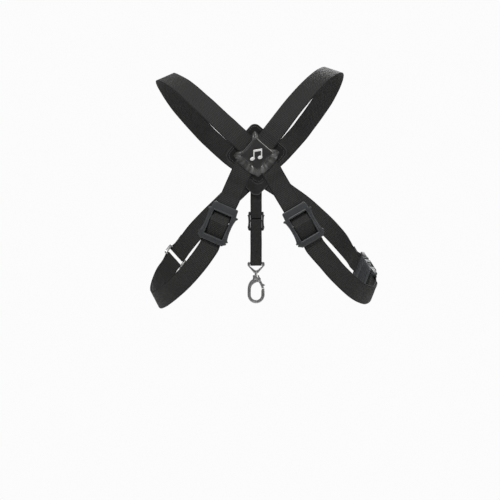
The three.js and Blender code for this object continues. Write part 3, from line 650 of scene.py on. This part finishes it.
def strap(name, route, path, web, node, seed, body=None, pinch=1.0):
    """A strap of webbing that follows a path over a route, faintly rippled as used webbing is. Where it is
    raised from the body it is squeezed to the given share of its width."""
    look = WEBBING if web is WEB else NARROW_WEBBING
    path = softened(path)
    position, tangent, normal, side = route.at(path[:, 0])
    slope = np.gradient(path, axis=0)
    slope /= np.linalg.norm(slope, axis=1, keepdims=True)
    up = normal * slope[:, :1] - tangent * slope[:, 1:]
    middle = position + normal * path[:, 1:]
    run = run_along(middle)
    section = strap_section(web)
    loops, uv = [], []
    for i, length in enumerate(run):
        ease = min(1.0, length / 6, (run[-1] - length) / 6)
        sway = SWAY * ease * noise.noise(Vector((length / 23, seed, 0)))
        raised = min(1.0, max(0.0, path[i, 1] - 1.3))
        narrow = 1.0 - (1.0 - pinch) * raised
        ring = []
        for x, z in section:
            ripple = RIPPLE * ease * noise.noise(Vector((length / 11, x / 7, seed + 5)))
            ring.append(middle[i] + side[i] * (x * narrow + sway) + up[i] * (z + ripple))
            uv.append((x, length + path[0, 0]))
        loops.append(ring)
    made = piece(name, loft(loops), look, body, [node], uv=uv, sharp=60)
    return made


# ---- leather


def spun(points, angle):
    """Points of a plane, turned about its origin."""
    c, s = math.cos(angle), math.sin(angle)
    return np.asarray(points, float) @ np.array([[c, s], [-s, c]])


def rounded_square(half, corner):
    """Points round a square with round corners, evenly spread along each side and corner."""
    reach = half - corner
    side = [(half, y) for y in np.linspace(-reach, reach, 36, endpoint=False)]
    quarter = np.linspace(0, math.pi / 2, 10, endpoint=False)
    arc = [(reach + corner * math.cos(a), reach + corner * math.sin(a)) for a in quarter]
    return np.vstack([spun(side + arc, k * math.pi / 2) for k in range(4)])


def leather_sheet(name, node, outline, height, thick, place, look=None, rub_and_highlight=lambda x, y: 0.1):
    """A sheet of leather cut to an outline, its top at height(x, y), with a groove for stitches and round
    edges made paler by the function given: rubbing wear, and on the centre plate a painted highlight along
    one side."""
    rings, wear_and_highlight = [], []
    share = np.array([rub_and_highlight(x, y) for x, y in outline])

    def ring(shrink, drop, wear_and_highlight_share):
        size = np.linalg.norm(outline, axis=1, keepdims=True)
        flat = outline * (1 - shrink / size)
        top = np.array([height(x, y) for x, y in flat])
        rings.append(lifted(flat, top - drop))
        wear_and_highlight.append(share * wear_and_highlight_share)

    reach = np.linalg.norm(outline, axis=1).min()
    spans = reach * np.array([0.97, 0.85, 0.7, 0.55, 0.4, 0.3, 0.2, 0.14])
    spans = spans[spans > SEAM["inside"] + 1]
    for shrink in spans:
        ring(shrink, 0, 0)
    for aside in (0.75, 0.3, 0, -0.3, -0.75, -1.25):
        ring(SEAM["inside"] + aside, 0 if aside else SEAM["sunk"], 0 if aside > -1 else 0.5)
    radius = thick / 2
    for a in np.radians([75, 50, 25, 0, -25, -50, -75]):
        ring(radius * (1 - math.cos(a)) + 0.05, radius * (1 - math.sin(a)), 1.0 if abs(a) < 1 else 0.7)
    for shrink in (1.5, *spans[::-1]):
        ring(shrink, thick, 0)
    wear_and_highlight = np.concatenate(wear_and_highlight)
    piece(name, loft(rings), look or LEATHER, "harness", [node], place, wear_and_highlight=wear_and_highlight, sharp=50)


def stitches(name, points, normals, stitch, body):
    """A row of stitches along a line of points: short plump loops of thread, evenly spaced."""
    pitch, long, radius = stitch["pitch"], stitch["long"], stitch["radius"]
    points = np.asarray(points, float)
    normals = unit(np.asarray(normals, float))
    run = run_along(points)
    parts = []
    for k in range(max(1, int(run[-1] / pitch))):
        middle = (k + 0.5) * pitch
        near = (middle - 0.1, middle + 0.1)
        ends = [np.array([np.interp(s, run, points[:, a]) for a in range(3)]) for s in near]
        along = unit(ends[1] - ends[0])
        up = np.array([np.interp(middle, run, normals[:, a]) for a in range(3)])
        up = unit(up - along * (up @ along))
        side = np.cross(along, up)
        centre = (ends[0] + ends[1]) / 2
        loops = []
        for a in np.linspace(-0.48, 0.48, 7) * math.pi:
            girth = radius * math.cos(a) + 0.02
            spot = centre + along * (math.sin(a) * long / 2) + up * (0.1 * math.cos(a))
            loops.append([spot + girth * (side * math.cos(b) + up * math.sin(b)) for b in full_turn(6)])
        parts.append(loft(loops))
    piece(name, joined(parts), THREAD, body)


def closed_seam(name, outline, height, place):
    """Stitches all the way round an outline, at height(x, y) on a sheet of leather."""
    line = np.array([(x, y, height(x, y)) for x, y in (*outline, outline[0])])
    normal = np.array(place)[:3, 2]
    stitches(name, moved(line, place), np.tile(normal, (len(line), 1)), SEAM_STITCH, "harness")


# ---- looks and floor


make_camera()
make_light()

WEBBING = (webbing_material("webbing", WEB["width"] / 2, 2.0), "webbing")
NARROW_WEBBING = (webbing_material("narrow_webbing", TAPE["width"] / 2, 1.5), "webbing")
LEATHER = (leather_material("leather", 0.005, 0.012, 0.26, 0.44, coat=0.35, shine=0.5), "leather")
# The patch's border is a darker copy of the leather: painted shade. It is also duller.
SHADED_BORDER_LEATHER = (
    leather_material("shaded_border_leather", 0.002, 0.006, 0.42, 0.6, coat=0.04, shine=0.2), "leather",
)
PLASTIC = (plastic_material(), "plastic")
METAL = (metal_material("metal", 0.34, 0.2, 0.34), "metal")
SILVER = (metal_material("silver", 0.92, 0.3, 0.42, metallic=0.6), "silver")
THREAD = (thread_material(), "webbing")
FLOOR = (floor_material(), None)


def make_floor():
    turn = full_turn(96)
    rings = [[(r * math.cos(a), r * math.sin(a), FLOOR_Z) for a in turn] for r in FLOOR_RINGS]
    floor = piece("floor", loft(rings, caps=False), FLOOR)


make_floor()


# ---- back patch


def patch_place(turned=True):
    spin = Matrix.Rotation(math.radians(PATCH["turn"] if turned else 0), 4, "Z")
    return Matrix.Translation(PATCH["at"]) @ Matrix.Rotation(math.pi / 2, 4, "X") @ spin


def patch_cover():
    """Leather that falls from the raised centre to the border: a folded tongue at each corner, and on the
    two lower sides a gathered band that the lower straps come out from under."""
    turn = full_turn(560)
    way = np.column_stack([np.cos(turn), np.sin(turn)])
    square = 1 / np.abs(way).max(axis=1)
    start = (CENTRE["half"] - 0.7) * np.minimum(square, 1.39)

    # The corner nearest to each direction, and the distance aside of it. Corner 2 is the lowest.
    middles = np.radians([45, 135, 225, 315])
    off = (turn[:, None] - middles + math.pi) % (2 * math.pi) - math.pi
    nearest = np.abs(off).argmin(axis=1)
    off = off[np.arange(len(turn)), nearest]
    across = off * (start + 4)

    # Shares, from 0 to 1, of the tongues and of the bands, which fade out beside the other three corners.
    tongue = np.exp(-np.abs(across / COVER["tongue_half"]) ** 4)
    low = np.isin((turn + math.pi / 4) // (math.pi / 2) % 4, (2, 3)).astype(float)
    fade = np.clip(1 - np.abs(off) / 0.3, 0, 1)
    fade = fade * fade * (3 - 2 * fade)
    band = low * np.where(np.isin(nearest, (0, 1, 3)) & (np.abs(off) < 0.3), 1 - 0.85 * fade, 1.0)
    slow = tongue * (1 - band)

    # How far the leather reaches out, and the height that it comes down to.
    reach = (COVER["band_reach"] * square**0.4 - 1.9 * (nearest == 2) * tongue) * band
    reach = 0.9 + COVER["tongue_reach"] * slow + reach
    foot = 1.7 + 2.9 * band * (1 - 0.8 * tongue) + 2.2 * (1 - band) * (1 - tongue)

    def wrinkles(pitch, seed):
        return np.array([noise.noise(Vector((a * pitch, seed, 0))) for a in across + nearest * 40])

    def hump(distance, width):
        return np.exp(-((distance / width) ** 2))

    fold = wrinkles(5.2, 3)
    deep = wrinkles(0.36, 7)
    near_low = hump(turn - middles[2], 0.55)
    lobes = 1.3 * hump(np.abs(across) - 2.9, 1.8) - 1.1 * hump(across, 1.1)
    bent = 1.5 * hump(np.abs(across) - 6.2, 2.6) - 0.9 * hump(across, 2.2)
    folds = np.where(nearest == 2, bent, lobes * tongue)
    top = CENTRE["top"] - 1.0
    rings, wear_and_highlight = [], []
    for t in np.linspace(0, 1, 22):
        fall = t ** (1.5 + 1.4 * slow) * (2.2 - 1.2 * t)
        bulge = math.sin(math.pi * t**0.8)
        z = top + (foot - top) * fall + bulge * (folds + band * (0.5 + deep * (0.6 + 0.9 * near_low)))
        z += bulge * 0.1 * fold * (band + tongue)
        rings.append(lifted(way * (start + reach * t)[:, None], z))
        # Fold crests are painted paler: painted highlights, partly rubbing wear. The outer edge is a
        # little rubbed.
        crest = bulge * (0.05 + np.clip(folds, 0, 2) * 0.13 + band * np.clip(deep, 0, 1) * 0.24)
        wear_and_highlight.append(np.full(len(turn), 0.1) if t > 0.97 else crest * np.maximum(tongue, band))
    for edge in (rings[-1], rings[0]):
        rings.append(edge - (0, 0, COVER["hem"]))
        wear_and_highlight.append(np.full(len(turn), 0.1))
    skin, wear_and_highlight = loft(rings, wrap=True), np.concatenate(wear_and_highlight)
    piece("patch_cover", skin, LEATHER, "harness", ["back_patch"], patch_place(), wear_and_highlight=wear_and_highlight, sharp=70)


def back_patch():
    place = patch_place()
    border = rounded_square(PATCH["half"], PATCH["corner"])
    plate = rounded_square(CENTRE["half"], CENTRE["corner"])

    def pillow(x, y):
        return CENTRE["top"] - 0.35 * (max(abs(x), abs(y)) / CENTRE["half"]) ** 3

    # One side of the centre plate's edge is painted pale as a painted highlight; the rest is a little
    # paler from rubbing wear.
    def painted_edge_highlight(x, y):
        return 1.0 if x > 1.05 * abs(y) else 0.12

    thick = PATCH["thick"]
    leather_sheet("patch_border", "back_patch", border, lambda x, y: thick, thick, place, SHADED_BORDER_LEATHER)
    leather_sheet("patch_centre", "back_patch", plate, pillow, CENTRE["thick"], place, rub_and_highlight=painted_edge_highlight)
    patch_cover()
    seam = rounded_square(PATCH["half"] - PATCH["seam_inside"], PATCH["seam_corner"])
    closed_seam("patch_stitches", seam, lambda x, y: thick + 0.02, place)


def bevelled_plate(outline, low, high, bevel):
    """A flat plate with rounded upper edges, from an outline of points."""
    outline = np.asarray(outline, float)
    centre = outline.mean(0)
    ahead = np.roll(outline, -1, axis=0) - np.roll(outline, 1, axis=0)
    inward = -unit(np.column_stack([ahead[:, 1], -ahead[:, 0]]))
    if ((outline - centre) * inward).sum() > 0:
        inward = -inward
    rings = [lifted(outline, low)]
    for a in np.radians([0, 30, 60, 90]):
        flat = outline + inward * bevel * (1 - math.cos(a))
        rings.append(lifted(flat, high - bevel + bevel * math.sin(a)))
    return loft(rings)


def emblem():
    """Two beamed eighth notes in silver-coloured metal."""
    wide, high, thick, rise, stem = (NOTE[key] for key in ("wide", "high", "thick", "rise", "stem"))
    long, short = NOTE["head"]
    low, top = -high / 2, high / 2
    turn = full_turn(28)
    head = spun(np.column_stack([long * np.cos(turn), short * np.sin(turn)]), NOTE["tilt"])
    parts = []
    for x, y in ((-wide / 2, low), (wide / 2, low + rise)):
        parts.append(bevelled_plate(head + (x - 0.8 * long, y), 0, thick + NOTE["head_more"], 0.3))
        end = y + high - NOTE["stem_end"]
        parts.append(bevelled_plate([(x - stem, y), (x, y), (x, end), (x - stem, end)], 0, thick, 0.25))
    left, right, under = -wide / 2 - stem, wide / 2, top - NOTE["beam"]
    beam = [(left, under), (right, under + rise), (right, top + rise), (left, top)]
    parts.append(bevelled_plate(beam, 0, thick + NOTE["beam_more"], 0.25))
    shift = Matrix.Translation((0.7 * long, -rise / 2, CENTRE["top"] - 0.05))
    place = patch_place(turned=False) @ shift
    piece("emblem_notes", joined(parts), SILVER, "harness", ["emblem"], place, wear_and_highlight=0.4)


back_patch()
emblem()


# ---- shoulder straps


def to_chest(route, layer):
    """The end of a strap's path: on the body, then up to its layer in the chest piece."""
    end = route.length
    return [(end - 40, ON_BODY), (end - 30, layer), (end, layer)]


def shoulder_strap(side, stations, seed):
    route = Route(stations)
    back = BACK_LAYERS[side]
    name = "shoulder_strap_" + side
    path = [(0, back), (9, back), (13, ON_BORDER), (24, ON_BORDER), (33, ON_BODY)]
    path += to_chest(route, CHEST_LAYERS["shoulder_" + side])
    strap(name + "_web", route, path, WEB, name, seed, "harness")


shoulder_strap("left", SHOULDER_LEFT, 11)
shoulder_strap("right", SHOULDER_RIGHT, 23)


# ---- slides, side straps, buckle and front straps


def slide_outlines(s):
    """The outer and the inner edge of a slide, point for point. An ear stands at each end of its waist."""
    half = s["length"] / 2
    top, end = -half + s["top_bar"], half - s["bottom_bar"]
    ear_top, ear_low = -half + s["ear_at"], -half + s["ear_end"]
    narrow, wide, rail = s["end_half"], s["ear_half"], s["rail_half"]
    step = wide - narrow
    # Along the slide and out from its middle: a place and a number of steps from there, twice.
    upper = [
        (-half, 0, narrow, -0.35),
        (-half, 0.35, narrow, 0),
        (ear_top, -1.3, narrow, 0.1),
        (ear_top, -0.56, narrow, 0.2),
        (ear_top, -0.42, wide, -0.14),
        (ear_top, -0.2, wide, 0),
        (ear_top, 0, wide, -0.02),
        (ear_top, 0.2, wide, -0.2),
    ]
    lower = [
        (ear_low, -0.12, wide, -0.14),
        (ear_low, 0, wide, 0),
        (ear_low, 0.34, wide, -0.06),
        (ear_low, 0.5, wide, -0.5),
        (ear_low, 0.68, wide, -0.52),
        (ear_low, 0.84, wide, -0.24),
        (ear_low, 1.16, wide, -0.34),
        (half, -0.4, narrow, 0),
        (half, 0, narrow, -0.4),
    ]
    upper, lower = ([(y + m * step, x + n * step) for y, m, x, n in keys] for keys in (upper, lower))
    waist = []
    for y in np.linspace(ear_top + 0.4 * step, ear_low - 0.3 * step, 24):
        f = 2 * (y - ear_top) / (ear_low - ear_top) - 1
        waist.append((y, s["waist_half"] + (wide - 0.3 * step - s["waist_half"]) * abs(f) ** 2.4))
    keys = np.array(upper + waist + lower)
    ys = np.unique(np.concatenate([np.linspace(-half, half, 70), keys[:, 0]]))
    xs = np.interp(ys, keys[:, 0], keys[:, 1])
    inner_y = np.interp(ys, [-half, half], [top, end])
    right = np.column_stack([xs, ys]), np.column_stack([np.full(len(ys), rail), inner_y])
    left = [np.column_stack([-p[::-1, 0], p[::-1, 1]]) for p in right]
    span = np.linspace(1, -1, 26)[1:-1]

    def across(way, places):
        return [np.column_stack([way * span * x, np.full(len(span), y)]) for x, y in places]

    bottom = across(1, ((xs[-1], half), (rail, end)))
    up = across(-1, ((xs[-1], -half), (rail, top)))
    return [np.vstack([right[k], bottom[k], left[k], up[k]]) for k in (0, 1)]


def adjuster(node, s, place):
    """A slide: rails and end bars round a window with a raised lip, and a round bar across it. Three short
    ribs stand on each rail."""
    outer, inner = slide_outlines(s)
    inward = unit(inner - outer)
    low, high = s["under"], s["under"] + s["thick"]
    bevel, lip = s["bevel"], s["lip"]
    # Round the section: the distance in from the edge, the height, and how rubbed it is.
    from_outer = [
        (bevel * 0.4, low, 0),
        (0, low + bevel * 0.4, 0.2),
        (0, high - bevel, 0.5),
        (bevel * 0.16, high - bevel * 0.5, 1),
        (bevel * 0.55, high - bevel * 0.14, 0.8),
        (bevel * 1.1, high, 0.1),
    ]
    from_inner = [
        (lip * 2.3, high, 0),
        (lip * 1.9, high + lip * 0.3, 0.3),
        (lip * 1.3, high + lip * 0.5, 0.8),
        (lip * 0.7, high + lip * 0.4, 1),
        (lip * 0.2, high, 0.6),
        (0, high - lip * 0.5, 0.2),
        (0, low + lip * 0.5, 0),
        (lip * 0.5, low, 0),
    ]
    rings, wear_and_highlight = [], []
    for edge, way, section in ((outer, 1, from_outer), (inner, -1, from_inner)):
        for offset, z, rub_and_highlight in section:
            rings.append(lifted(edge + inward * offset * way, z))
            wear_and_highlight.append(np.full(len(edge), rub_and_highlight))
    along = np.linspace(-1, 1, 9) * (s["rail_half"] + 0.8)
    girths = s["bar_r"] * (1 + 0.12 * (along / s["rail_half"]) ** 6)
    bar = rod(along, girths, s["bar_at"] - s["length"] / 2, s["bar_height"], full_turn(16))
    wear_and_highlight.append(np.zeros(len(bar[0])))
    ribs = []
    edge = outer[:np.argmax(outer[:, 1]) + 1]
    step = lip * 1.9
    girths = step * 0.36 * np.sin(math.pi * np.linspace(0.12, 0.88, 7)) ** 0.5
    for side in (-1, 1):
        for k in range(3):
            y = s["ear_end"] - s["length"] / 2 - lip * 3.2 - k * step
            reach = np.interp(y, edge[:, 1], edge[:, 0]) - bevel * 1.1
            along = side * np.linspace(s["rail_half"] + lip * 2.6, reach, 7)
            arc = np.linspace(-0.15, 1.15, 8) * math.pi
            ribs.append(rod(along, girths, y, high, arc, squash=0.7))
            wear_and_highlight.append(np.full(len(ribs[-1][0]), 0.7))
    skin, wear_and_highlight = joined([loft(rings, wrap=True), bar, *ribs]), np.concatenate(wear_and_highlight)
    piece(node + "_moulded", skin, PLASTIC, node, [node], place, wear_and_highlight=wear_and_highlight, sharp=35)


def bend_between(made, route, start, end, first, second):
    """The points at the start and end lengths of a route are found, and a strap's place is baked into its
    mesh.
    """
    start, end = (Vector(route.spot(length, 1)) * MM for length in (start, end))
    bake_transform(made)


def side_strap(side, route, slide_at, far_bar, radius, seed):
    """One side's slide and adjusting strap, as far as the bar of the ring or of the buckle."""
    slide = "slide_" + side
    lead = [(0, ON_BORDER), (21, ON_BORDER), (30, ON_BODY), (46, ON_BODY)]
    adjuster(slide, SLIDE, route.stand(slide_at + SLIDE["length"] / 2, 0))
    adjusting_strap(
        "side_strap_" + side, "adjusting_strap_" + side, route, lead, SLIDE, slide_at, (*far_bar, radius),
        WEB, ("harness", slide, "harness"), SIDE_BENDS, seed,
    )


def bar_on(route, place, at, along):
    """A bar across something rigid that stands at a length of a route: the bar's own length and height."""
    return route.locate(moved([(0, along, 0)], place)[0], at + along)


def adjusting_strap(names, node, route, lead, s, at, far, web, bodies, bends, seed):
    """A strap that passes through a slide, turns round a far bar and comes back to be sewn round the
    slide's own bar. The crest and the fold go with the slide."""
    fixed, slider, ending = bodies
    lead_from, run_length = bends
    half = web["thick"] / 2
    outer, inner = s["under"] - GAP - half, half + 0.05
    bar = (at + s["bar_at"], s["bar_height"])
    turn = s["bar_r"] + GAP + half
    crest = turn + GAP + web["thick"]
    far_bar, far_turn = far[:2], far[2] + GAP + half
    window_top = (at + s["top_bar"] + 0.2, outer)
    window_end = (at + s["length"] - s["bottom_bar"] - 0.2, outer)
    under_end = at + s["length"] - s["bottom_bar"] / 2
    far_out = (far_bar[0] - far_turn * 4, outer)
    far_back = (far_bar[0] - far_turn * 3, inner)
    near_back = (window_end[0] + 2, inner)
    flap_end = (bar[0] + (window_end[0] - bar[0]) * 0.5, inner + web["thick"] + GAP * 3)
    narrow = (s["rail_half"] - 0.25) / (web["width"] / 2)

    lead_path = [*lead, (at - 1.5, outer), (bar[0] - crest, outer)]
    fed = strap(names + "_lead", route, lead_path, web, node, seed)
    bend_between(fed, route, lead_from, at - 1, fixed, slider)

    over_bar = round_bar(bar, crest, window_top, window_end)
    crest_path = [(at + s["top_bar"] * 0.6, outer), window_top, *over_bar, window_end, (under_end, outer)]
    strap(names + "_crest", route, crest_path, web, node, seed + 1, slider, pinch=narrow)

    over_far = round_bar(far_bar, far_turn, far_out, far_back)
    run_path = [(under_end, outer), far_out, *over_far, far_back, (under_end, inner)]
    run = strap(names + "_run", route, run_path, web, node, seed + 2)
    bend_between(run, route, under_end, under_end + run_length, slider, ending)

    fold_path = [(under_end, inner), near_back, *round_bar(bar, turn, near_back, flap_end), flap_end]
    strap(names + "_fold", route, fold_path, web, node, seed + 3, slider, pinch=narrow)


def buckle_details():
    """A raised panel on each face of the socket, and a row of grip ridges on each face of the plug."""
    turn = full_turn(72)
    circle = np.column_stack([np.cos(turn), np.sin(turn)])
    plan = np.sign(circle) * np.abs(circle) ** PANEL["squareness"] * PANEL["half"]
    # The panel's share of its size at each height: a rim, and a shallow pan inside it.
    profile = (
        (1, -0.3), (1, 0.1), (0.985, 0.35), (0.95, 0.5), (0.9, 0.5), (0.87, 0.3), (0.5, 0.3), (0.05, 0.3),
    )
    along = np.linspace(-1, 1, 15) * RIDGES["half_wide"]
    girths = RIDGES["girth"] * (1 - (np.abs(along) / (RIDGES["half_wide"] + 0.1)) ** 8) + 0.03
    arc = np.linspace(0, math.pi, 9)
    for face, name in ((1, "outer"), (-1, "inner")):
        rings = []
        for share, up in profile:
            rings.append(lifted(plan * share + (0, PANEL["along"]), face * (PANEL["face"] + up)))
        panel = "socket_panel_" + name
        piece(panel, loft(rings), PLASTIC, "harness", ["buckle_socket"], buckle_place, wear_and_highlight=0)
        ridges = joined([rod(along, girths, y, face * RIDGES["face"], arc, face) for y in RIDGES["along"]])
        piece("plug_ridges_" + name, ridges, PLASTIC, "plug", ["buckle_plug"], buckle_place, wear_and_highlight=0.5)


def front_strap(side, route, bar, radius, seed):
    """A strap sewn round a bar and running to the chest piece, the lines of stitches on its flap, and the
    height of the flap's top."""
    node = "front_strap_" + side
    turn = radius + GAP + WEB["thick"] / 2
    flap_height = ON_BODY + WEB["thick"] + GAP
    bend = (bar[0] + turn * 3, flap_height)
    leave = (bar[0] + turn * 3, ON_BODY)
    seam = bar[0] + FLAP
    path = [(seam, flap_height), bend, *round_bar(bar, turn, bend, leave, clockwise=False), leave]
    path += to_chest(route, CHEST_LAYERS["front_" + side])
    made = strap(node + "_web", route, path, WEB, node, seed)
    low, high, wide = bend[0] + 0.5, seam - 2, WEB["width"] / 2 - 3
    box = [(low, -wide), (high, -wide), (high, wide), (low, wide), (low, -wide), (high, wide)]
    return made, (box, [(high, -wide), (low, wide)]), flap_height + WEB["thick"] / 2


def sewn_box(name, route, lines, height, body):
    """Stitches round a box and across it both ways, on top of a sewn strap end."""
    for number, corners in enumerate(lines):
        points, normals = [], []
        for (s0, x0), (s1, x1) in zip(corners[:-1], corners[1:]):
            for k in range(9):
                s, x = s0 + (s1 - s0) * k / 8, x0 + (x1 - x0) * k / 8
                points.append(route.spot(s, height, x))
                normals.append(route.spot(s, height + 1, x) - points[-1])
        stitches(f"{name}_{number}", points, normals, BOX_STITCH, body)


# Left side: slide, ring and front strap.
left_route = Route(FLANK_LEFT)
ring_place = left_route.stand(RING["at"], RING["lift"])
ring_r = RING["bar"] / 2
reach = RING["half_long"] - ring_r
ring_back, ring_front = (bar_on(left_route, ring_place, RING["at"], along) for along in (-reach, reach))
side_strap("left", left_route, SLIDE_LEFT_AT, ring_back, ring_r, 31)
refined("side_ring", METAL, "harness", 0.4)
front_left, box_left, box_top = front_strap("left", left_route, ring_front, ring_r, 41)
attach(front_left, "harness")
sewn_box("front_left_stitches", left_route, box_left, box_top, "harness")

# Right side: slide, side-release buckle and front strap.
right_route = Route(FLANK_RIGHT)
buckle_place = right_route.stand(BUCKLE["at"], BUCKLE["lift"])
buckle_bars = (BUCKLE["socket_bar"], BUCKLE["plug_bar"])
socket_bar, plug_bar = (bar_on(right_route, buckle_place, BUCKLE["at"], along) for along in buckle_bars)
side_strap("right", right_route, SLIDE_RIGHT_AT, socket_bar, BUCKLE["bar_r"], 53)
for node, body in (
    ("buckle_socket", "harness"),
    ("buckle_plug", "plug"),
    ("buckle_prong_upper", "prong_upper"),
    ("buckle_prong_lower", "prong_lower"),
):
    refined(node, PLASTIC, body, 0.8, steps=3)
buckle_details()
front_right, box_right, box_top = front_strap("right", right_route, plug_bar, BUCKLE["bar_r"], 61)
# The stitches on the sewn flap go with the plug.
box_end = box_right[0][1][0]
bend_between(front_right, right_route, box_end + 3, right_route.length - 32, "plug", "harness")
sewn_box("front_right_stitches", right_route, box_right, box_top, "plug")


# ---- chest piece


def chest_piece():
    """Two layers of leather with the strap ends between them; the outer one sinks where no strap lies."""
    outline = spun(rounded_square(CHEST["half"], CHEST["corner"]), math.radians(45))
    place = Matrix.Translation(CHEST["at"]) @ Matrix.Rotation(-math.pi / 2, 4, "X")
    thick = CHEST["thick"]
    leather_sheet("chest_piece_inner", "chest_inner", outline, lambda x, y: thick, thick, place)

    def outer(x, y):
        reach = CHEST["half"] * math.sqrt(2) - 3.3
        edge = max(0.0, (math.hypot(x, y) / reach - 0.55) / 0.45)
        away = max(abs(x) / max(abs(y), 1e-6), abs(y) / max(abs(x), 1e-6))
        corner = min(1.0, max(0.0, (away - 1.5) / 3)) * (0 if y > abs(x) else 1)
        return CHEST["outer"] - CHEST["sink"] * corner * min(1.0, edge) ** 1.5

    leather_sheet("chest_piece_outer", "chest_outer", outline, outer, thick, place)
    seam = outline * (1 - SEAM["inside"] / np.linalg.norm(outline, axis=1, keepdims=True))
    closed_seam("chest_stitches", seam, lambda x, y: outer(x, y) - SEAM["sunk"] / 2, place)


chest_piece()


# ---- hanger and hook

hang_x, hang_y, hang_z = HANGER["at"]
hanger_y = hang_y + HANGER["lift"]
hanger_route = Route([(hang_x, hanger_y, hang_z - k * HANGER["length"] / 3, 0, 1, 0) for k in range(4)])
half_tape, sewn = TAPE["thick"] / 2, HANGER["top"]
sewn_path = [(0, half_tape), (sewn, half_tape)]
hanger_top = strap("hanger_top", hanger_route, sewn_path, TAPE, "hanger_strap", 70)
bend_between(hanger_top, hanger_route, *HANGER["bend"], "harness", "hanger")
adjusting_strap(
    "hanger", "hanger_strap", hanger_route, [(sewn - 3, half_tape), (sewn, half_tape)], SMALL_SLIDE,
    SMALL_SLIDE_AT, HANGER["eye"], TAPE, ("hanger", "hanger_slide", "eye"), HANGER_BENDS, 71,
)
adjuster("hanger_slide", SMALL_SLIDE, hanger_route.stand(SMALL_SLIDE_AT + SMALL_SLIDE["length"] / 2, 0))
for node, body, width in (
    ("hook_eye", "eye", 0.35),
    ("hook_body", "hook", 0.7),
    ("hook_gate", "gate", 0.25),
    ("gate_pin", "hook", 0.2),
):
    refined(node, METAL, body, width)


def hook_nose():
    """The end of the hook's nose, hollowed along the arc that the gate's tip swings through."""
    pivot_x, pivot_z = HOOK["pivot"]
    arc = np.radians(np.linspace(*HOOK["nose_arc"], 14))
    radius = HOOK["nose_r"]
    hollow = np.column_stack([pivot_x + radius * np.sin(arc), pivot_z - radius * np.cos(arc)])
    outline = np.vstack([hollow, HOOK["nose_root"]])
    middle = outline.mean(0)
    rings = []
    for side in (-1, 1):
        for inset, share in ((0, 0.05), (0, 0.8), (0.15, 0.92), (0.5, 1))[::-side]:
            flat = middle + (outline - middle) * share
            y = side * (HOOK["nose_thick"] / 2 - inset)
            rings.append(np.column_stack([flat[:, 0], np.full(len(flat), y), flat[:, 1]]))
    piece("hook_nose", loft(rings), METAL, "hook", ["hook_body"], Matrix.Translation(HOOK["at"]), wear_and_highlight=0.3)


hook_nose()
